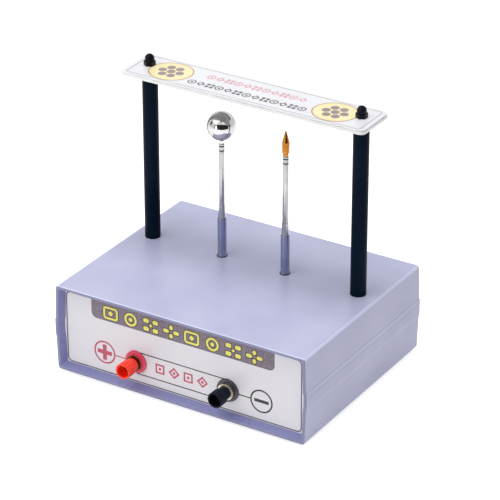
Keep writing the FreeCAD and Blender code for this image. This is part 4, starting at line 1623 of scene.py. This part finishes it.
@dataclass
class Column:
    """Extruded black tube that carries one end of the plate."""

    side: str
    bore: float = 2.4 * MM
    soft: float = 0.3 * MM

    def build(self) -> None:
        """Turn the tube and stand it on the deck."""
        low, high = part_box(self.side + "_column")
        tube = Workpiece.tube(self.side + "_tube", self.bore, (high.x - low.x) / 2, 0, high.z - low.z,
                              self.soft, 72)
        tube.move((*axis_of(self.side + "_column"), low.z))
        tube.shade(50)
        tube.finish(COLUMN_PVC, "column_plastic", "root", self.side + "_column")


# ---------------------------------------------------------------- masts
class Electrode(Enum):
    """What a mast carries."""

    BALL = "ball"
    NEEDLE = "needle"


@dataclass
class Mast:
    """Telescopic mast: three tubes that slide in each other, an end plug and an electrode."""

    electrode: Electrode
    base_bore: float = 2.55 * MM
    base_radius: float = 3.0 * MM
    base_floor: float = 1.5 * MM
    flange_radius: float = 3.3 * MM
    flange_height: float = 1.2 * MM
    middle_bore: float = 2.05 * MM
    middle_lip: float = 2.2 * MM
    middle_mouth: float = 8.0 * MM       # length of the mouth that is rolled in
    top_bore: float = 1.5 * MM
    plug_foot: float = 5.0 * MM          # length of the plug inside the tube
    plug_floor: float = 4.5 * MM         # depth of its bore
    groove: float = 0.45 * MM
    groove_width: float = 0.75 * MM
    groove_heights: Point = (1.15 * MM, 4.25 * MM)
    plug_soft: float = 0.08 * MM
    fit_gap: float = 0.05 * MM
    spigot: float = 1.0 * MM
    neck: float = 1.5 * MM
    neck_angle: float = 8.6              # degrees from the ball's lowest point to the neck's skin
    neck_drop: float = 0.3 * MM          # height of the fillet between the neck and the ball
    step_radius: float = 1.8 * MM
    step_height: float = 1.9 * MM
    shoulder_radius: float = 2.4 * MM
    shoulder_height: float = 0.5 * MM
    barrel: float = 7.4 * MM
    tip_radius: float = 0.12 * MM
    nose_curve: float = 1.08             # 1 would be a straight cone
    nose_steps: int = 12
    soft: float = 0.12 * MM
    tube_steps: int = 48                 # faces round a tube

    def node(self, part: str) -> str:
        """Return the CAD node's name of one part of this mast."""
        return f"{self.electrode.value}_{part}"

    def span(self, part: str) -> Place:
        """Return a part's outer radius, lowest and highest point."""
        low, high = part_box(self.node(part))
        return (high.x - low.x) / 2, low.z, high.z

    def place(self, piece: Workpiece, finish: Finish, part: str, body: str, slot: str = "chrome_plate",
              smooth: float = 40.0) -> None:
        """Stand a part on the mast's axis and finish it.

        Args:
            piece: the part, made about Z.
            finish: its surface.
            part: its CAD node's name without the electrode's.
            body: the body that it moves with.
            slot: the record's material slot.
            smooth: sharpest turn in degrees that is shaded smoothly.
        """
        piece.move((*axis_of(self.node(part)), 0))
        piece.shade(smooth)
        piece.finish(finish, slot, body, self.node(part))

    def build_tubes(self) -> None:
        """Draw the three tubes, each with its rolled mouth."""
        _, low, high = self.span("mast_base")
        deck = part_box("deck_washers")[1].z
        outer, bore = self.base_radius, self.base_bore
        mouth = (outer - bore) / 2
        base = Workpiece.turned(self.node("tube_lower"), [
            (0, low), (outer, low), (outer, deck), (self.flange_radius, deck),
            (self.flange_radius, deck + self.flange_height / 3), (outer, deck + self.flange_height),
            (outer, high - mouth), *arc((outer - mouth, high - mouth), mouth, 30, 150, 4),
            (bore, high - mouth), (bore, low + self.base_floor), (0, low + self.base_floor)],
            steps=self.tube_steps)
        self.place(base, CHROME_BASE, "mast_base", "root")

        outer, low, high = self.span("mast_middle")
        bore = self.middle_bore
        middle = Workpiece.turned(self.node("tube_middle"), [
            (bore, low), (outer, low), (outer, high - self.middle_mouth), (self.middle_lip, high),
            (bore, high), (bore, low)], steps=self.tube_steps)
        self.place(middle, CHROME_TUBE, "mast_middle", self.node("middle"))

        outer, low, high = self.span("mast_top")
        top = Workpiece.tube(self.node("tube_upper"), self.top_bore, outer, low, high, self.soft,
                             self.tube_steps)
        self.place(top, CHROME_TUBE, "mast_top", self.node("top"))

    def build_plug(self) -> None:
        """Turn the plug with its two ring grooves that ends the mast."""
        outer, low, high = self.span("mast_collar")
        step = low + self.plug_foot
        waist = outer - self.groove
        plug = self.top_bore - self.fit_gap
        profile = [(0, low), (plug, low), (plug, step), (outer, step)]
        for height in self.groove_heights:
            start, end = step + height, step + height + self.groove_width
            profile += [(outer, start), (waist, start), (waist, end), (outer, end)]
        floor = high - self.plug_floor
        profile += [(outer, high - self.groove), (waist, high), (self.spigot, high), (self.spigot, floor),
                    (0, floor)]
        piece = Workpiece.turned(self.node("plug"), profile, soften=self.plug_soft, steps=self.tube_steps)
        self.place(piece, CHROME_TUBE, "mast_collar", self.node("top"))
        axis = Vector(axis_of(self.node("mast_collar")))
        # painted shade in the plug's grooves
        piece.tint(GROOVE_SHADE_CHROME, lambda centre, normal: (
            step < centre.z < high - self.groove - NEAR
            and self.top_bore < (centre.xy - axis).length < outer - 0.6 * self.groove))

    def build_ball(self) -> None:
        """Turn the ball with its neck and spigot."""
        radius, low, high = self.span("electrode")
        centre = high - radius
        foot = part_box(self.node("mast_collar"))[1].z
        start = self.neck_angle - 90
        underside = centre + radius * sin(radians(start))
        profile = [(0, low), (self.spigot, low), (self.spigot, foot), (self.neck, foot),
                   (self.neck, underside - self.neck_drop), *arc((0, centre), radius, start, 90, 40)]
        ball = Workpiece.turned("ball", profile, steps=96)
        self.place(ball, CHROME_BALL, "electrode", self.node("top"), smooth=50)

    def build_needle(self) -> None:
        """Turn the brass point: a step, a barrel and an ogive."""
        radius, low, high = self.span("electrode")
        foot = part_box(self.node("mast_collar"))[1].z
        shoulder = foot + self.step_height
        nose = shoulder + self.barrel
        ogive = [(radius * (1 - t ** self.nose_curve) + self.tip_radius * t, nose + (high - nose) * t)
                 for t in (k / self.nose_steps for k in range(self.nose_steps + 1))]
        profile = [(0, low), (self.spigot, low), (self.spigot, foot), (self.step_radius, foot),
                   (self.step_radius, shoulder), (self.shoulder_radius, shoulder + self.shoulder_height),
                   *ogive, (0, high)]
        point = Workpiece.turned("point", profile, steps=64)
        self.place(point, TIP_BRASS, "electrode", self.node("top"), "tip_brass")

    def build(self) -> None:
        """Build the whole mast."""
        self.build_tubes()
        self.build_plug()
        if self.electrode is Electrode.BALL:
            self.build_ball()
        else:
            self.build_needle()


# ---------------------------------------------------------------- binding posts
@dataclass
class BindingPost:
    """Binding post: collar, bored stem, clamp washer and fluted cap. Distances run out from the label."""

    pole: str
    cap_finish: Finish
    collar_finish: Finish
    stem_finish: Finish
    washer_finish: Finish
    panel: float = 2.0 * MM              # the panel's thickness, behind the label's face
    flange_radius: float = 8.0 * MM
    flange_end: float = 1.7 * MM
    flange_round: float = 0.7 * MM
    step_radius: float = 6.1 * MM
    step_end: float = 2.6 * MM
    step_round: float = 0.35 * MM
    bore: float = 3.1 * MM
    spigot_radius: float = 4.4 * MM
    stem_radius: float = 3.0 * MM
    stem_end: float = 9.0 * MM
    stem_flange: float = 5.7 * MM
    stem_flange_end: float = 3.8 * MM
    stem_soft: float = 0.15 * MM
    socket_radius: float = 2.0 * MM
    socket_depth: float = 15.0 * MM
    washer_gap: float = 0.2 * MM
    washer_soft: float = 0.12 * MM
    fit_gap: float = 0.05 * MM
    cap_start: float = 4.8 * MM
    neck_radius: float = 4.7 * MM
    neck_end: float = 9.1 * MM
    shoulder: float = 0.6 * MM
    cap_radius: float = 5.5 * MM
    cap_end: float = 16.5 * MM
    cap_edge: float = 0.4 * MM
    recess_radius: float = 4.2 * MM
    web_radius: float = 3.3 * MM
    web_end: float = 10.55 * MM
    seat_radius: float = 3.95 * MM
    seat_end: float = 9.15 * MM
    flutes: int = 12
    flute_radius: float = 0.9 * MM
    flute_depth: float = 0.55 * MM

    def place(self, piece: Workpiece, finish: Finish, slot: str, body: str, node: str) -> None:
        """Set a part made about Z on the post's axis, pointing out of the front.

        Args:
            piece: the part.
            finish: its surface.
            slot: the record's material slot.
            body: the body that it moves with.
            node: the CAD node that it replaces.
        """
        low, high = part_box(self.pole + "_post_cap")
        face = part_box("panel_label")[0].y
        piece.face_front()
        piece.move(((low.x + high.x) / 2, face, (low.z + high.z) / 2))
        piece.shade(40)
        piece.finish(finish, slot, body, node)

    def build_collar(self) -> None:
        """Turn the insulating collar."""
        flange, step = self.flange_round, self.step_round
        collar = Workpiece.turned(self.pole + "_collar", [
            (self.bore, -self.panel), (self.spigot_radius, -self.panel), (self.spigot_radius, 0),
            (self.flange_radius, 0),
            *arc((self.flange_radius - flange, self.flange_end - flange), flange, 0, 90, 5),
            (self.step_radius, self.flange_end),
            *arc((self.step_radius - step, self.step_end - step), step, 0, 90, 4),
            (self.bore, self.step_end), (self.bore, -self.panel)])
        self.place(collar, self.collar_finish, self.pole + "_collar_plastic", "root",
                   self.pole + "_post_collar")

    def build_stem(self) -> None:
        """Turn the brass stem, bored for a plug."""
        low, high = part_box(self.pole + "_post_stem")
        tail = self.stem_end - (high.y - low.y)
        floor = self.stem_end - self.socket_depth
        stem = Workpiece.turned(self.pole + "_stem", [
            (0, tail), (self.stem_radius, tail), (self.stem_radius, self.step_end),
            (self.stem_flange, self.step_end), (self.stem_flange, self.stem_flange_end),
            (self.stem_radius, self.stem_flange_end), (self.stem_radius, self.stem_end),
            (self.socket_radius, self.stem_end), (self.socket_radius, floor), (0, floor)],
            soften=self.stem_soft)
        self.place(stem, self.stem_finish, "post_brass", "root", self.pole + "_post_stem")

    def build_washer(self) -> None:
        """Turn the clamp washer."""
        low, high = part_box(self.pole + "_pinch_washer")
        outer, thick = (high.x - low.x) / 2, high.y - low.y
        start = self.stem_flange_end + self.washer_gap
        washer = Workpiece.tube(self.pole + "_washer", self.stem_radius + self.fit_gap, outer, start,
                                start + thick, self.washer_soft)
        self.place(washer, self.washer_finish, "post_nickel", self.pole + "_clamp",
                   self.pole + "_pinch_washer")

    def build_cap(self) -> None:
        """Turn the cap, a plain neck and a knob that is open at its end, and cut the knob's flutes."""
        outer, edge, end = self.cap_radius, self.cap_edge, self.cap_end
        cap = Workpiece.turned(self.pole + "_cap", [
            (self.seat_radius, self.cap_start), (self.neck_radius, self.cap_start),
            (self.neck_radius, self.neck_end), (outer, self.neck_end + self.shoulder), (outer, end - edge),
            (outer - edge, end), (self.recess_radius + edge, end), (self.recess_radius, end - edge),
            (self.recess_radius, self.web_end), (self.web_radius, self.web_end),
            (self.web_radius, self.seat_end), (self.seat_radius, self.seat_end),
            (self.seat_radius, self.cap_start)], steps=96)
        axis = outer + self.flute_radius - self.flute_depth
        for k in range(self.flutes):
            angle = 2 * pi * (k + 0.5) / self.flutes
            flute = Workpiece.prism("flute", self.flute_radius, self.neck_end - PAST, end + PAST,
                                    HOLE_STEPS)
            flute.move((axis * cos(angle), axis * sin(angle), 0))
            cap.combine(flute, Action.CUT)
        cap.close_up()
        self.place(cap, self.cap_finish, self.pole + "_cap_plastic", self.pole + "_cap",
                   self.pole + "_post_cap")

    def build(self) -> None:
        """Build the whole post."""
        self.build_collar()
        self.build_stem()
        self.build_washer()
        self.build_cap()


# ---------------------------------------------------------------- studio
@dataclass
class Studio:
    """Pale floor, soft lamps, dark cards and the camera."""

    camera_place: Place = (0.8316, -1.33335, 0.8906)
    camera_turn: float = 31.57           # degrees to the left of straight ahead
    camera_dip: float = 27.11            # degrees below the horizon
    sensor: float = 36.0
    focal_pixels: float = 2696.0
    frame_pixels: float = 500.0
    sight: float = 50.0                  # how far the camera sees
    sky: float = 0.48
    floor_side: float = 12.0
    floor_glow: float = 0.7
    lamp_aim: float = 0.09               # height that the lamps point at
    card_aim: float = 0.12               # height that the cards face

    def build_floor(self) -> None:
        """Lay the pale floor. Where the camera or a mirror sees it, it glows up to white."""
        stand_clear()
        bpy.ops.mesh.primitive_plane_add(size=self.floor_side)
        floor = Workpiece("floor")
        material = bpy.data.materials.new("studio_paper")
        material.use_nodes = True
        tree = material.node_tree
        tree.nodes.clear()
        seen = self.seen(tree)
        paper = add_node(tree, "ShaderNodeBsdfDiffuse", {"Color": colour("#E6E6E8")})
        glow = add_node(tree, "ShaderNodeEmission",
                        {"Color": colour("#FFFFFF"), "Strength": self.floor_glow})
        lit = add_node(tree, "ShaderNodeAddShader", {0: paper.outputs[0], 1: glow.outputs[0]})
        mix = add_node(tree, "ShaderNodeMixShader", {0: seen, 1: paper.outputs[0], 2: lit.outputs[0]})
        add_node(tree, "ShaderNodeOutputMaterial", {"Surface": mix.outputs[0]})
        floor.solid.data.materials.append(material)

    def seen(self, tree: Tree) -> Socket:
        """Find the rays that come straight from the camera, off a mirror or through glass.

        Args:
            tree: the material's or the world's node tree.

        Returns:
            1 for such a ray, otherwise 0.
        """
        path = add_node(tree, "ShaderNodeLightPath")
        either = add_node(tree, "ShaderNodeMath", {
            0: path.outputs["Is Camera Ray"], 1: path.outputs["Is Glossy Ray"]}, operation="MAXIMUM")
        any_of = add_node(tree, "ShaderNodeMath", {
            0: either.outputs[0], 1: path.outputs["Is Transmission Ray"]}, operation="MAXIMUM")
        return any_of.outputs[0]

    def build_world(self) -> None:
        """Make the room: even soft light, white where it is seen."""
        world = bpy.data.worlds.new("room")
        bpy.context.scene.world = world
        world.use_nodes = True
        tree = world.node_tree
        tree.nodes.clear()
        light = add_node(tree, "ShaderNodeBackground", {"Color": colour("#F4F5FA"), "Strength": self.sky})
        white = add_node(tree, "ShaderNodeBackground", {"Color": colour("#FFFFFF"), "Strength": 1.0})
        mix = add_node(tree, "ShaderNodeMixShader", {
            0: self.seen(tree), 1: light.outputs[0], 2: white.outputs[0]})
        add_node(tree, "ShaderNodeOutputWorld", {"Surface": mix.outputs[0]})

    def aim(self, thing: bpy.types.Object, axis: str, height: float) -> None:
        """Turn one side of a lamp or a card towards the object.

        Args:
            thing: the lamp or card.
            axis: its axis that points at the object.
            height: where on the object.
        """
        way = Vector((0, 0, height)) - thing.location
        thing.rotation_euler = way.to_track_quat(axis, "Y").to_euler()

    def lamp(self, name: str, place: Sequence[float], size: float, watts: float) -> None:
        """Hang a square soft lamp that points at the object.

        Args:
            name: its name.
            place: its middle.
            size: its side.
            watts: its power.
        """
        stand_clear()
        bpy.ops.object.light_add(type="AREA", location=place)
        lamp = bpy.context.object
        lamp.name = name
        lamp.data.size = size
        lamp.data.energy = watts
        self.aim(lamp, "-Z", self.lamp_aim)

    def card(self, name: str, place: Sequence[float], width: float, height: float, shade: str) -> None:
        """Stand a dark card that only mirrors see, as the dark side of a studio.

        Args:
            name: its name.
            place: its middle.
            width: its width.
            height: its height.
            shade: its colour.
        """
        stand_clear()
        bpy.ops.mesh.primitive_plane_add(size=1, location=place)
        card = bpy.context.object
        card.name = name
        card.scale = (width, height, 1)
        self.aim(card, "Z", self.card_aim)
        material = bpy.data.materials.new(name + "_cloth")
        material.use_nodes = True
        cloth = material.node_tree.nodes["Principled BSDF"].inputs
        cloth["Base Color"].default_value = colour(shade)
        cloth["Roughness"].default_value = 1.0
        card.data.materials.append(material)
        card.visible_camera = False
        card.visible_diffuse = False
        card.visible_shadow = False

    def build_camera(self) -> None:
        """Set up the camera."""
        stand_clear()
        turn = (radians(90 - self.camera_dip), 0, radians(self.camera_turn))
        bpy.ops.object.camera_add(location=self.camera_place, rotation=turn)
        camera = bpy.context.object
        camera.name = "camera"
        camera.data.sensor_width = self.sensor
        camera.data.lens = self.focal_pixels / self.frame_pixels * self.sensor
        camera.data.clip_end = self.sight
        bpy.context.scene.camera = camera

    def build(self) -> None:
        """Build the whole studio."""
        self.build_floor()
        self.build_world()
        self.lamp("top", place=(0.05, 0.0, 1.7), size=0.7, watts=13)
        self.lamp("key", place=(-0.38, -0.42, 0.95), size=1.0, watts=3.6)
        self.lamp("front_fill", place=(-0.1, -1.2, 0.3), size=0.5, watts=3.0)
        self.lamp("catch_light", place=(0.54, -0.41, 0.9), size=0.25, watts=0.3)
        self.card("camera_side", place=(0.5, -0.82, 0.35), width=2.7, height=0.72, shade="#2E2E32")
        self.card("ceiling", place=(0.0, 0.2, 1.3), width=2.4, height=2.2, shade="#767676")
        self.card("left_flag", place=(-1.7, -0.9, 0.9), width=0.5, height=1.3, shade="#2A2B2E")
        self.card("right_flag", place=(1.7, 0.3, 0.9), width=0.5, height=1.3, shade="#2A2B2E")
        self.build_camera()
        bpy.context.scene.view_settings.view_transform = "Standard"


def main() -> None:
    """Build the object's sub-assemblies in order, then the studio."""
    logging.basicConfig(level=logging.INFO, format="%(name)s %(message)s")
    Case().build()
    FrontPrint().build()
    Plate().build()
    DomeNuts().build()
    for side in ("left", "right"):
        Column(side).build()
    for electrode in Electrode:
        Mast(electrode).build()
    # the red post's stem and washer carry painted shade and dark reflections
    BindingPost("red", RED_CAP, RED_COLLAR, RED_POST_SHADE_BRASS, RED_POST_SHADE_WASHER).build()
    BindingPost("black", BLACK_CAP, BLACK_COLLAR, PALE_BRASS, NICKEL).build()
    dress_carried_nodes()
    Studio().build()
    stand_clear()


if __name__ == "__main__":
    main()
